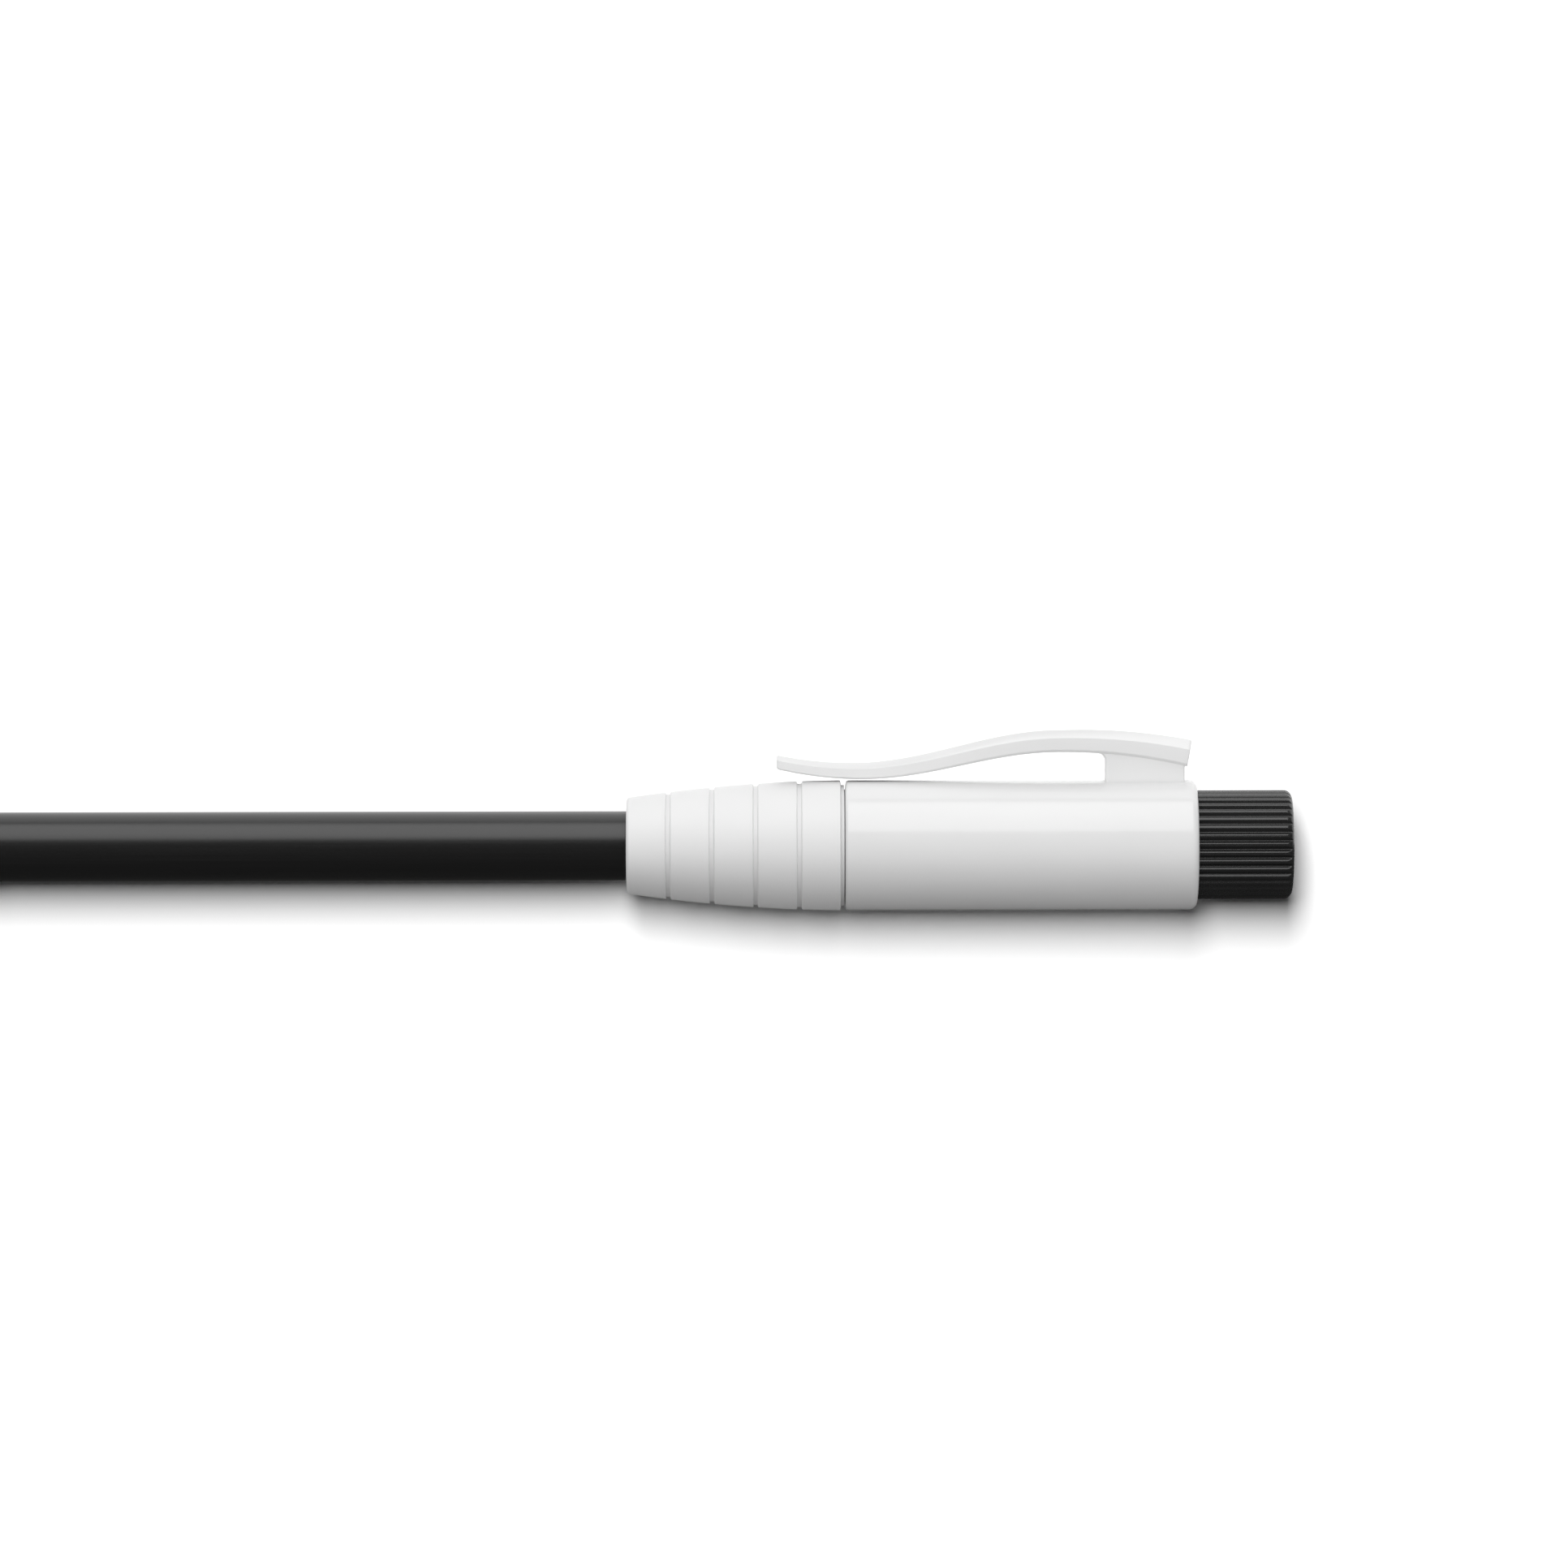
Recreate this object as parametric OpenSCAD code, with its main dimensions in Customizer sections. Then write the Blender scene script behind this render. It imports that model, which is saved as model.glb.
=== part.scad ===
// Pencil standing in a cap that covers its point, clips to a pocket and carries a sharpener.
// Millimetres. The pencil lies along X, the flat end of the knob is at X = 0, the clip points to +Y.

/* [Pencil] */
// Diameter over the lacquer
pencil_d = 7.3; // [6.9:0.1:7.9]
// Length from the end of the eraser to the point
pencil_len = 112.5; // [90:0.5:180]
// Half-angle of the sharpened point, in degrees
point_angle = 15.9; // [14:0.1:18]
// Diameter of the graphite lead
lead_d = 2.1; // [1.8:0.1:2.8]
// Radius of the worn end of the lead
lead_round = 0.1; // [0.05:0.01:0.2]
// Thickness of the lacquer
lacquer_t = 0.15; // [0.1:0.01:0.2]
// How far the point stands inside the mouth of the cap
insert_depth = 29.1; // [27:0.1:31]

/* [Ferrule and eraser] */
// Length of the ferrule
ferrule_len = 12.8; // [12:0.1:18]
// Wall of the ferrule
ferrule_t = 0.3; // [0.25:0.01:0.4]
// How far the plain bands of the ferrule stand above the lacquer
ferrule_step = 0.11; // [0.06:0.01:0.15]
// Plain band beside the eraser
rear_band = 1.8; // [1.4:0.1:2.2]
// Plain band beside the lacquer
front_band = 1.45; // [1.2:0.05:1.8]
// Beads in each of the two groups
bead_count = 4; // [2:1:4]
// Distance from bead to bead
bead_pitch = 1.0; // [0.8:0.05:1.05]
// Height of a bead
bead_h = 0.13; // [0.08:0.01:0.2]
// Dimples punched round each group of beads
dimple_count = 4; // [3:1:6]
// Eraser that stands out of the ferrule
eraser_out = 4.3; // [2.5:0.1:8]
// Rounding of the end of the eraser
eraser_round = 1.0; // [0.4:0.1:1.5]

/* [Cap nose] */
// Length of the ribbed nose
nose_len = 23; // [21:0.1:25]
// Diameter of the nose at its mouth
mouth_d = 10.1; // [9.6:0.1:11]
// How quickly the nose fills out from the mouth to the barrel
nose_curve = 1.9; // [1.2:0.05:2.2]
// Bands round the nose
band_count = 5; // [3:1:7]
// Width of the groove after each band
groove_w = 0.47; // [0.3:0.01:0.7]
// Depth of the grooves
groove_depth = 0.3; // [0.15:0.05:0.4]

/* [Cap barrel] */
// Outer diameter of the barrel
barrel_d = 13.7; // [13.3:0.1:15]
// Wall of the barrel
barrel_wall = 0.95; // [0.85:0.05:1.1]
// Length of the barrel
barrel_len = 37; // [35:0.5:45]

/* [Clip] */
// Length of the post along the barrel
post_len = 8.4; // [6:0.1:10]
// Thickness of the post
post_w = 3.8; // [2.6:0.1:3.8]
// Distance from the rear rim of the barrel to the post
post_setback = 1.3; // [1:0.1:3]
// Reach of the arm ahead of the post
arm_reach = 34.5; // [31:0.5:36]
// Width of the arm over the post
arm_w = 4.2; // [4:0.1:5]
// Room for cloth under the highest stretch of the arm
arm_room = 2.9; // [2.4:0.1:3.5]
// Thickness of the arm at its tip
arm_tip_t = 1.5; // [1.3:0.1:2]
// Thickness of the arm at its highest stretch
arm_t = 2.35; // [2:0.05:2.8]

/* [Sharpener] */
// Knob that stands out of the barrel
knob_len = 10; // [7:0.5:14]
// Flutes round the knob
flute_count = 38; // [24:1:44]
// Depth of the flutes
flute_depth = 0.3; // [0.15:0.05:0.4]
// Straight hole that guides the pencil into the cone
guide_len = 3.5; // [2.5:0.1:4.5]
// How far the blade's seat is turned round the axis, away from the clip, in degrees
seat_turn = 45; // [0:5:90]
// Thickness of the blade
blade_t = 0.5; // [0.4:0.05:0.6]
// Width of the blade
blade_w = 5; // [4.8:0.1:5.2]
// Diameter of the screw's shank
screw_d = 1.9; // [1.6:0.1:2]

/* [Clearances] */
// Gap between pieces that are glued or pressed together
bond_gap = 0.02; // [0.01:0.01:0.04]
// Gap between the pencil and the bore that grips it
grip_gap = 0.06; // [0.03:0.01:0.1]
// Gap between the sharpener and the barrel that it slides in
slide_gap = 0.08; // [0.03:0.01:0.1]
// Gap between a sliding piece and its stop
stop_gap = 0.1; // [0.05:0.01:0.2]
// Gap between the knuckle of the clip and its socket
knuckle_gap = 0.1; // [0.06:0.01:0.12]
// Gap between the knob and the bore that it enters
knob_gap = 0.18; // [0.1:0.01:0.3]

/* [Hidden] */
$fn = 64;

black_lacquer = [0.05, 0.05, 0.05];
black_metal = [0.08, 0.08, 0.08];
black_rubber = [0.07, 0.07, 0.07];
natural_wood = [0.84, 0.63, 0.42];
grey_graphite = [0.24, 0.24, 0.25];
white_matt = [0.9, 0.9, 0.9];
white_gloss = [0.95, 0.95, 0.95];
black_plastic = [0.06, 0.06, 0.06];
steel = [0.7, 0.72, 0.74];

// How far a cutting shape runs past the solid that it cuts
cut = 1;

// Stations along X
knob_inside = 1;
point_room = 1.9;
x_rim = -knob_len;
x_seam = x_rim - barrel_len;
x_mouth = x_seam - nose_len;
x_point = x_mouth + insert_depth;
x_eraser = x_point - pencil_len;
x_ferrule = x_eraser + eraser_out;
x_lacquer = x_ferrule + ferrule_len;
x_stop = x_point + point_room;
x_front = x_stop + stop_gap;
x_knob = x_rim - knob_inside;

// Pencil radii and the cone that the sharpener gives it
pencil_r = pencil_d / 2;
lead_r = lead_d / 2;
wood_r = pencil_r - lacquer_t - bond_gap;
wood_hole_r = lead_r + bond_gap;
taper = tan(point_angle);
x_apex = x_point + lead_round / sin(point_angle) - lead_round;

// Ferrule and eraser radii
ferrule_r = pencil_r + ferrule_step;
ferrule_in_r = ferrule_r - ferrule_t;
lip_h = 0.12;
lip_len = 0.5;
plug_space = 0.8;
plug_len = (ferrule_len - plug_space) / 2;
tenon_len = plug_len;
tenon_r = min(ferrule_in_r - bond_gap, wood_r);
eraser_step = 0.19;
eraser_r = ferrule_r - eraser_step;
bead_gap = 0.2;
bead_w = bead_pitch - bead_gap;
bead_group = bead_count * bead_pitch;
bead_steps = 6;
dimple_r = 0.45;
dimple_depth = 0.16;
dimple_turn = 14;
x_rear_beads = x_ferrule + rear_band;
x_front_beads = x_lacquer - front_band - bead_group;

// Cap radii
barrel_r = barrel_d / 2;
bore_r = barrel_r - barrel_wall;
mouth_r = mouth_d / 2;
spigot_r = bore_r - bond_gap;
grip_r = pencil_r + grip_gap;
point_bore_r = 2.4;
band_pitch = nose_len / band_count;
band_round = 0.3;
mouth_round = 0.45;
mouth_lead = 0.35;
neck_depth = 0.5;
seam_gap = 0.11;
seam_round = 0.35;
rim_round = 0.78;

// Clip stations: the post, the knuckle where the arm bends, the crest, the contact and the tip
x_post_rear = x_rim - post_setback;
x_post = x_post_rear - post_len;
arm_overhang = 0.75;
knuckle_ahead = 1.6;
crest_ahead = 4.6;
tip_len = 9;
x_arm_end = x_post_rear + arm_overhang;
x_knuckle = x_post - knuckle_ahead;
x_crest = x_post - crest_ahead;
x_arm_tip = x_post - arm_reach;
x_contact = x_arm_tip + tip_len;
contact_gap = 0.1;
tip_rise = 1.17;
rear_drop = 1.55;
contact_swell = 0.25;
end_swell = 0.45;
contact_t = arm_tip_t + contact_swell;
arm_end_t = arm_t + end_swell;
arm_narrow = 0.84;
arm_tip_w = arm_w - arm_narrow;
arm_bevel = 0.36;
arm_edge = 0.22;
arm_tip_round = 0.25;
arm_steps = 32;
tip_step = 30;
root_steps = 10;
post_fillet = 0.7;
post_sink = 0.6;
foot_gap = 0.05;
knuckle_r = 0.8;
knuckle_step = 0.16;
end_slant = 9.5;

// Sharpener radii and stations
body_r = bore_r - slide_gap;
knob_r = bore_r - knob_gap;
knob_round = 0.85;
knob_floor = 1.4;
flute_r = 0.29;
flute_turn = 180 / flute_count;
tail_r = 4;
tail_space = 0.3;
x_tail = -knob_floor - tail_space;
guide_room = 0.3;
guide_r = pencil_r + guide_room;
guide_lead = 0.4;
x_cone = x_front + guide_len;
cone_len = guide_r / taper;
cone_side = guide_r / sin(point_angle);
pocket_past = 2.2;
pocket_len = cone_side + pocket_past;
throat_w = 2.8;
throat_depth = 1;
throat_lap = 0.3;
throat_past = 0.4;

// Blade: the cutting edge lies along the top of the cone, a corner is cropped to clear the barrel
blade_clear = 0.12;
blade_room_r = body_r - blade_clear;
blade_start = 0.3;
blade_past = 1.2;
blade_end = cone_side + blade_past;
blade_edge = -0.15;
blade_back = blade_edge + blade_w;
blade_bevel = 1.1;
blade_top_z = guide_r + blade_t * cos(point_angle);
crop_y = sqrt(pow(blade_room_r, 2) - pow(blade_top_z - blade_start * sin(point_angle), 2));
crop_z = sqrt(pow(blade_room_r, 2) - pow(blade_back, 2));
crop_end = (blade_top_z - crop_z) / sin(point_angle);
screw_r = screw_d / 2;
screw_head_r = 1.7;
screw_head_h = 0.7;
screw_len = 3.6;
screw_space = 0.3;
screw_clear = 0.1;
screw_along = 0.66;
screw_s = screw_along * cone_side;
screw_y = 2.85;
slot_w = 0.45;
slot_depth = 0.35;

// Points [radius, x] of a round corner: centre, radius, first and last angle, steps
function arc(c, r, a0, a1, n = 6) =
    [for (i = [0:n])
        let (a = a0 + (a1 - a0) * i / n)
        c + r * [cos(a), sin(a)]];

// Radius of the nose's outside at a station
function nose_r(x) = barrel_r - (barrel_r - mouth_r) * pow(max(0, (x_seam - x) / nose_len), nose_curve);

// One band of the nose, rounded at both ends, with the groove that follows it
function band_points(i) =
    let (x0 = x_mouth + i * band_pitch,
         x1 = x0 + band_pitch - groove_w,
         round0 = i == 0 ? mouth_round : band_round,
         foot0 = i == 0 ? [] : [[nose_r(x0) - groove_depth, x0]],
         foot_depth = i == band_count - 1 ? neck_depth : groove_depth,
         x_mid = (x0 + x1) / 2)
    concat(
        foot0,
        arc([nose_r(x0 + round0) - round0, x0 + round0], round0, -90, 0),
        [[nose_r(x_mid), x_mid]],
        arc([nose_r(x1 - band_round) - band_round, x1 - band_round], band_round, 0, 90),
        [[nose_r(x1) - foot_depth, x1]]
    );

// One bead of the ferrule
function bead_points(x) =
    [for (i = [0:bead_steps])
        let (part = i / bead_steps)
        [ferrule_r + bead_h * sin(180 * part), x + bead_gap / 2 + bead_w * part]];

// One group of beads that starts at a station
function bead_row(x) = [for (k = [0:bead_count - 1]) each bead_points(x + k * bead_pitch)];

// Station at which the inner cone of the nose, which the pencil's cone seats in, has a radius
function x_on_seat(r) = x_apex - (r - stop_gap / cos(point_angle)) / taper;

// Station at which the cone of the pencil has a radius
function x_on_point(r) = x_apex - r / taper;

// Space between the barrel and the arm at a station
function arm_gap(x) =
    x <= x_contact
        ? contact_gap + (tip_rise - contact_gap) * pow((x_contact - x) / (x_contact - x_arm_tip), 2)
    : x <= x_crest
        ? let (rise = (1 - cos(180 * (x - x_contact) / (x_crest - x_contact))) / 2)
          contact_gap + (arm_room - contact_gap) * rise
    : arm_room - rear_drop * pow((x - x_crest) / (x_arm_end - x_crest), 2);

// Thickness of the arm at a station
function arm_thick(x) =
    x <= x_contact
        ? contact_t + (arm_tip_t - contact_t) * (x_contact - x) / (x_contact - x_arm_tip)
    : x <= x_crest
        ? contact_t + (arm_t - contact_t) * sin(90 * (x - x_contact) / (x_crest - x_contact))
    : arm_t + (arm_end_t - arm_t) * (x - x_crest) / (x_arm_end - x_crest);

// Half the width of the arm at a station
function arm_half(x) = (arm_tip_w + (arm_w - arm_tip_w) * min(1, (x - x_arm_tip) / arm_reach)) / 2;

// How far the rounded tip draws in from the full section
function tip_inset(x) =
    let (d = min(arm_tip_round, x - x_arm_tip))
    arm_tip_round - sqrt(max(0, pow(arm_tip_round, 2) - pow(arm_tip_round - d, 2)));

// Bevelled section of the arm at a station
function arm_section(x) =
    let (inset = tip_inset(x),
         y0 = barrel_r + arm_gap(x) + inset,
         t = arm_thick(x) - 2 * inset,
         y1 = y0 + t,
         w = arm_half(x) - inset,
         b = arm_bevel * t)
    [[x, y0, arm_edge - w], [x, y0, w - arm_edge], [x, y0 + arm_edge, w], [x, y1 - b, w],
     [x, y1, w - b], [x, y1, b - w], [x, y1 - b, -w], [x, y0 + arm_edge, -w]];

// Solid of revolution round X from points [radius, x]
module turned(points) {
    rotate([0, 90, 0])
        rotate_extrude()
            polygon(points);
}

// Skin over a row of sections that have the same number of points
module loft(sections) {
    n = len(sections);
    m = len(sections[0]);
    sides = [for (i = [0:n - 2], j = [0:m - 1])
        each [[i * m + j, i * m + (j + 1) % m, (i + 1) * m + (j + 1) % m],
              [i * m + j, (i + 1) * m + (j + 1) % m, (i + 1) * m + j]]];
    first = [for (j = [0:m - 1]) m - 1 - j];
    last = [for (j = [0:m - 1]) (n - 1) * m + j];
    polyhedron([for (s = sections) each s], concat(sides, [first, last]), convexity = 6);
}

// Places its children on the blade's seat: along the cone, across it and square to it
module on_seat() {
    rotate([seat_turn, 0, 0])
        translate([x_cone, 0, guide_r])
            rotate([0, point_angle, 0])
                children();
}

module eraser() {
    color(black_rubber)
        turned(concat(
            [[0, x_eraser]],
            arc([eraser_r - eraser_round, x_eraser + eraser_round], eraser_round, -90, 0),
            [[eraser_r, x_ferrule - bond_gap],
             [ferrule_in_r - bond_gap, x_ferrule - bond_gap],
             [ferrule_in_r - bond_gap, x_ferrule + plug_len],
             [0, x_ferrule + plug_len]]
        ));
}

module ferrule() {
    color(black_metal)
        difference() {
            turned(concat(
                [[ferrule_in_r, x_ferrule], [ferrule_r, x_ferrule]],
                bead_row(x_rear_beads),
                bead_row(x_front_beads),
                [[ferrule_r, x_lacquer - lip_len],
                 [ferrule_r + lip_h, x_lacquer],
                 [ferrule_in_r, x_lacquer]]
            ));
            for (x = [x_rear_beads + bead_pitch / 2, x_front_beads + bead_group / 2])
                for (k = [0:dimple_count - 1])
                    rotate([360 * k / dimple_count + dimple_turn, 0, 0])
                        translate([x, 0, ferrule_r + dimple_r - dimple_depth])
                            sphere(dimple_r);
        }
}

module lacquer_coat() {
    inner_r = pencil_r - lacquer_t;
    color(black_lacquer)
        turned([[inner_r, x_lacquer + bond_gap],
                [pencil_r, x_lacquer + bond_gap],
                [pencil_r, x_on_point(pencil_r)],
                [inner_r, x_on_point(inner_r)]]);
}

// Both halves of the wood, before they are parted along the glue line
module wood() {
    turned([[wood_hole_r, x_lacquer - tenon_len],
            [tenon_r, x_lacquer - tenon_len],
            [tenon_r, x_lacquer],
            [wood_r, x_lacquer + bond_gap],
            [wood_r, x_on_point(wood_r)],
            [wood_hole_r, x_on_point(wood_hole_r)]]);
}

// Block on one side of the glue line: 1 above it, -1 below it
module half_space(side) {
    translate([x_eraser, -pencil_d, side > 0 ? 0 : -2 * pencil_d])
        cube([pencil_len, 2 * pencil_d, 2 * pencil_d]);
}

module upper_slat() {
    color(natural_wood)
        intersection() {
            wood();
            half_space(1);
        }
}

module lower_slat() {
    color(natural_wood)
        intersection() {
            wood();
            half_space(-1);
        }
}

module graphite_lead() {
    color(grey_graphite)
        turned(concat(
            [[0, x_lacquer - tenon_len], [lead_r, x_lacquer - tenon_len], [lead_r, x_on_point(lead_r)]],
            arc([0, x_point - lead_round], lead_round, point_angle, 90, 4)
        ));
}

module nose_grip() {
    color(white_matt)
        turned(concat(
            [for (i = [0:band_count - 1]) each band_points(i)],
            [[nose_r(x_seam - groove_w) - neck_depth, x_seam - seam_gap],
             [spigot_r, x_seam - seam_gap],
             [spigot_r, x_stop],
             [point_bore_r, x_stop],
             [point_bore_r, x_on_seat(point_bore_r)],
             [grip_r, x_on_seat(grip_r)],
             [grip_r, x_mouth + mouth_lead],
             [grip_r + mouth_lead, x_mouth]]
        ));
}

module cap_barrel() {
    color(white_gloss)
        difference() {
            turned(concat(
                [[bore_r, x_seam]],
                arc([barrel_r - seam_round, x_seam + seam_round], seam_round, -90, 0),
                arc([barrel_r - rim_round, x_rim - rim_round], rim_round, 0, 90),
                [[bore_r, x_rim]]
            ));
            translate([x_post - bond_gap, 0, -post_w / 2 - bond_gap])
                cube([post_len + 2 * bond_gap, barrel_d, post_w + 2 * bond_gap]);
        }
}

module clip_post() {
    foot_y = bore_r + foot_gap;
    top_y = barrel_r + arm_room + post_sink;
    fillet_y = barrel_r + arm_gap(x_post - post_fillet) - post_fillet;
    x_root = x_knuckle + knuckle_step;
    root_len = x_arm_end + cut - x_root;
    y_knuckle = barrel_r + arm_gap(x_knuckle) + arm_thick(x_knuckle) / 2;
    color(white_gloss) {
        difference() {
            loft([for (i = [0:root_steps]) arm_section(x_root + root_len * i / root_steps)]);
            translate([x_arm_end, barrel_r + arm_room - rear_drop + arm_end_t, 0])
                rotate([0, 0, -end_slant])
                    translate([0, -barrel_d, -arm_w])
                        cube([barrel_d, 2 * barrel_d, 2 * arm_w]);
        }
        translate([0, 0, -post_w / 2])
            linear_extrude(post_w)
                polygon(concat(
                    [[x_post_rear, foot_y], [x_post_rear, top_y], [x_post - post_fillet, top_y]],
                    arc([x_post - post_fillet, fillet_y], post_fillet, 90, 0),
                    [[x_post, foot_y]]
                ));
        translate([x_knuckle, y_knuckle, -arm_half(x_knuckle) + arm_edge])
            cylinder(r = knuckle_r, h = 2 * (arm_half(x_knuckle) - arm_edge));
    }
}

module clip_arm() {
    x_root = x_knuckle - knuckle_step;
    y_knuckle = barrel_r + arm_gap(x_knuckle) + arm_thick(x_knuckle) / 2;
    x_full = x_arm_tip + arm_tip_round;
    color(white_gloss)
        difference() {
            loft(concat(
                [for (a = [0:tip_step:90]) arm_section(x_full - arm_tip_round * cos(a))],
                [for (i = [1:arm_steps]) arm_section(x_full + (x_root - x_full) * i / arm_steps)]
            ));
            translate([x_knuckle, y_knuckle, -arm_w])
                cylinder(r = knuckle_r + knuckle_gap, h = 2 * arm_w);
        }
}

module sharpener_body() {
    color(black_plastic)
        difference() {
            turned([[0, x_front],
                    [body_r - guide_lead, x_front],
                    [body_r, x_front + guide_lead],
                    [body_r, x_knob - bond_gap],
                    [tail_r, x_knob - bond_gap],
                    [tail_r, x_tail],
                    [0, x_tail]]);
            turned([[0, x_front - cut],
                    [guide_r + guide_lead + cut, x_front - cut],
                    [guide_r, x_front + guide_lead],
                    [guide_r, x_cone],
                    [0, x_cone + cone_len]]);
            on_seat() {
                translate([0, -barrel_d, 0])
                    cube([pocket_len, 2 * barrel_d, barrel_d]);
                translate([0, -throat_w, -throat_depth])
                    cube([cone_side + throat_past, throat_w + throat_lap, barrel_d]);
                translate([screw_s, screw_y, -screw_len - screw_space])
                    cylinder(r = screw_r + bond_gap, h = screw_len + screw_space + cut);
            }
        }
}

module blade() {
    color(steel)
        on_seat()
            difference() {
                linear_extrude(blade_t)
                    polygon([[blade_start, blade_edge], [blade_end, blade_edge], [blade_end, blade_back],
                             [crop_end, blade_back], [blade_start, crop_y]]);
                translate([0, blade_edge, 0])
                    rotate([atan(blade_t / blade_bevel), 0, 0])
                        translate([0, -blade_w, 0])
                            cube([2 * blade_end, 2 * blade_w, blade_w]);
                translate([screw_s, screw_y, -cut])
                    cylinder(r = screw_r + screw_clear, h = blade_t + 2 * cut);
            }
}

module blade_screw() {
    color(steel)
        on_seat()
            translate([screw_s, screw_y, 0])
                difference() {
                    union() {
                        translate([0, 0, -screw_len])
                            cylinder(r = screw_r, h = screw_len + blade_t + screw_head_h);
                        translate([0, 0, blade_t])
                            cylinder(r = screw_head_r, h = screw_head_h);
                    }
                    translate([-screw_head_r - cut, -slot_w / 2, blade_t + screw_head_h - slot_depth])
                        cube([2 * (screw_head_r + cut), slot_w, slot_depth + cut]);
                }
}

module knob() {
    color(black_plastic)
        difference() {
            turned(concat(
                [[0, x_knob], [knob_r, x_knob]],
                arc([knob_r - knob_round, -knob_round], knob_round, 0, 90, 5),
                [[0, 0]]
            ));
            turned([[0, x_knob - cut],
                    [tail_r + bond_gap, x_knob - cut],
                    [tail_r + bond_gap, -knob_floor],
                    [0, -knob_floor]]);
            for (k = [0:flute_count - 1])
                rotate([360 * k / flute_count + flute_turn, 0, 0])
                    translate([x_knob - cut, 0, knob_r + flute_r - flute_depth])
                        rotate([0, 90, 0])
                            cylinder(r = flute_r, h = knob_len + knob_inside + 2 * cut);
        }
}

eraser();
ferrule();
lacquer_coat();
upper_slat();
lower_slat();
graphite_lead();
nose_grip();
cap_barrel();
clip_post();
clip_arm();
sharpener_body();
blade();
blade_screw();
knob();
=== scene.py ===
"""Looks of a pencil that stands in a cap with a ribbed nose, a pocket clip and a built-in sharpener.

The pencil lies along X, with the flat end of the knob at X = 0. The clip points to +Y, and +Z faces the
camera. Sizes are in millimetres, and turn to metres where a mesh, a tree or a material takes them.
"""

import logging
import math
from collections.abc import Mapping, Sequence
from dataclasses import dataclass, field
from enum import Enum
from types import MappingProxyType

import bmesh
import bpy
from bpy.types import Collection, Material, Mesh, Node, NodeSocket, NodeTree, Object
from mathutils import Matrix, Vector, noise


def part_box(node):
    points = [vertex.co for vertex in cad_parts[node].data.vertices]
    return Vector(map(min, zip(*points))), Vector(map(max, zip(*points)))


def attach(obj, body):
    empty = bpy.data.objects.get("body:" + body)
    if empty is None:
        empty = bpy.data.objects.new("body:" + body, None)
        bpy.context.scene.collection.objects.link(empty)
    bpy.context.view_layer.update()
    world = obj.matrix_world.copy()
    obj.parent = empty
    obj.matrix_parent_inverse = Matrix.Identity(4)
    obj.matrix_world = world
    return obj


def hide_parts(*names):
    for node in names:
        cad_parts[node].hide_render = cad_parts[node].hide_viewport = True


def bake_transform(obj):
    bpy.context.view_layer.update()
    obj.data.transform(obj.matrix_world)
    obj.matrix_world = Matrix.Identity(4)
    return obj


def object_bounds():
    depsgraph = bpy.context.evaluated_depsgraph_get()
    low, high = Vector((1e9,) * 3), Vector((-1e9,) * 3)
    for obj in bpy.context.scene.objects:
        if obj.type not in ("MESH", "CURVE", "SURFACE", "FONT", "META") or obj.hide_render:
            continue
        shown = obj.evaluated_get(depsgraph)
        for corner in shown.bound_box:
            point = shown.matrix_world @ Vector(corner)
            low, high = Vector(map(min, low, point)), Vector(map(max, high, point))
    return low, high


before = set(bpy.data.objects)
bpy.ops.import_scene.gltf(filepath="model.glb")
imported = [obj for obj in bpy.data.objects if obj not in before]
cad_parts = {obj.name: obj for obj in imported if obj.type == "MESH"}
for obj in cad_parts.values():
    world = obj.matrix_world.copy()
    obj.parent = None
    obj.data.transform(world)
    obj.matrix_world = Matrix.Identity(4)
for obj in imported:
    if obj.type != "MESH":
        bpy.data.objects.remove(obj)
CAD_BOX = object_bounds()
MM = 0.001
SEGMENTS = 128
SHARP_ANGLE = math.radians(32)
FLAT_ANGLE = math.radians(0.5)
# Points closer than this are one point.
WELD = 0.001
# The outside of a blank is what lies within this depth of its greatest radius.
SKIN = 0.05
LOG = logging.getLogger("capped_pencil")

Point = tuple[float, float]
Setting = float | Sequence[float] | NodeSocket


class Body(Enum):
    """The bodies that pieces ride on."""

    CAP = "cap"
    CLIP = "clip"
    PENCIL = "pencil"
    SHARPENER = "sharpener"


class Half(Enum):
    """The two slats that a pencil is glued up from, by the angle round X of their middle."""

    UPPER = 0.0
    LOWER = math.pi


@dataclass(frozen=True)
class Extent:
    """Reach of a solid: its first and last station along X and its radius, in millimetres."""

    start: float
    end: float
    radius: float

    @classmethod
    def of(cls, node: str) -> "Extent":
        """Reads the reach of a solid from the frame."""
        low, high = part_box(node)
        return cls(low.x / MM, high.x / MM, high.z / MM)


def linear(colour: str) -> tuple[float, float, float, float]:
    """Turns an sRGB hex colour into linear red, green and blue with full opacity.

    Args:
        colour: Seven characters, such as #D9D9D9.

    Returns:
        The four channels, from 0 to 1.
    """
    channels = [int(colour[i:i + 2], 16) / 255 for i in (1, 3, 5)]
    red, green, blue = [c / 12.92 if c <= 0.04045 else ((c + 0.055) / 1.055) ** 2.4 for c in channels]
    return red, green, blue, 1.0


def add_node(
    tree: NodeTree,
    kind: str,
    inputs: Mapping[str | int, Setting] = MappingProxyType({}),
    **settings: object,
) -> Node:
    """Adds a node, gives it its settings, and sets or links its inputs.

    Args:
        tree: Tree that takes the node.
        kind: Blender's name of the node's type.
        inputs: Value or output socket for each input, by name or place.
        **settings: Properties of the node.

    Returns:
        The new node.
    """
    node = tree.nodes.new(kind)
    for name, value in settings.items():
        setattr(node, name, value)
    for key, value in inputs.items():
        if isinstance(value, NodeSocket):
            tree.links.new(value, node.inputs[key])
        else:
            node.inputs[key].default_value = value
    return node


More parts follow.
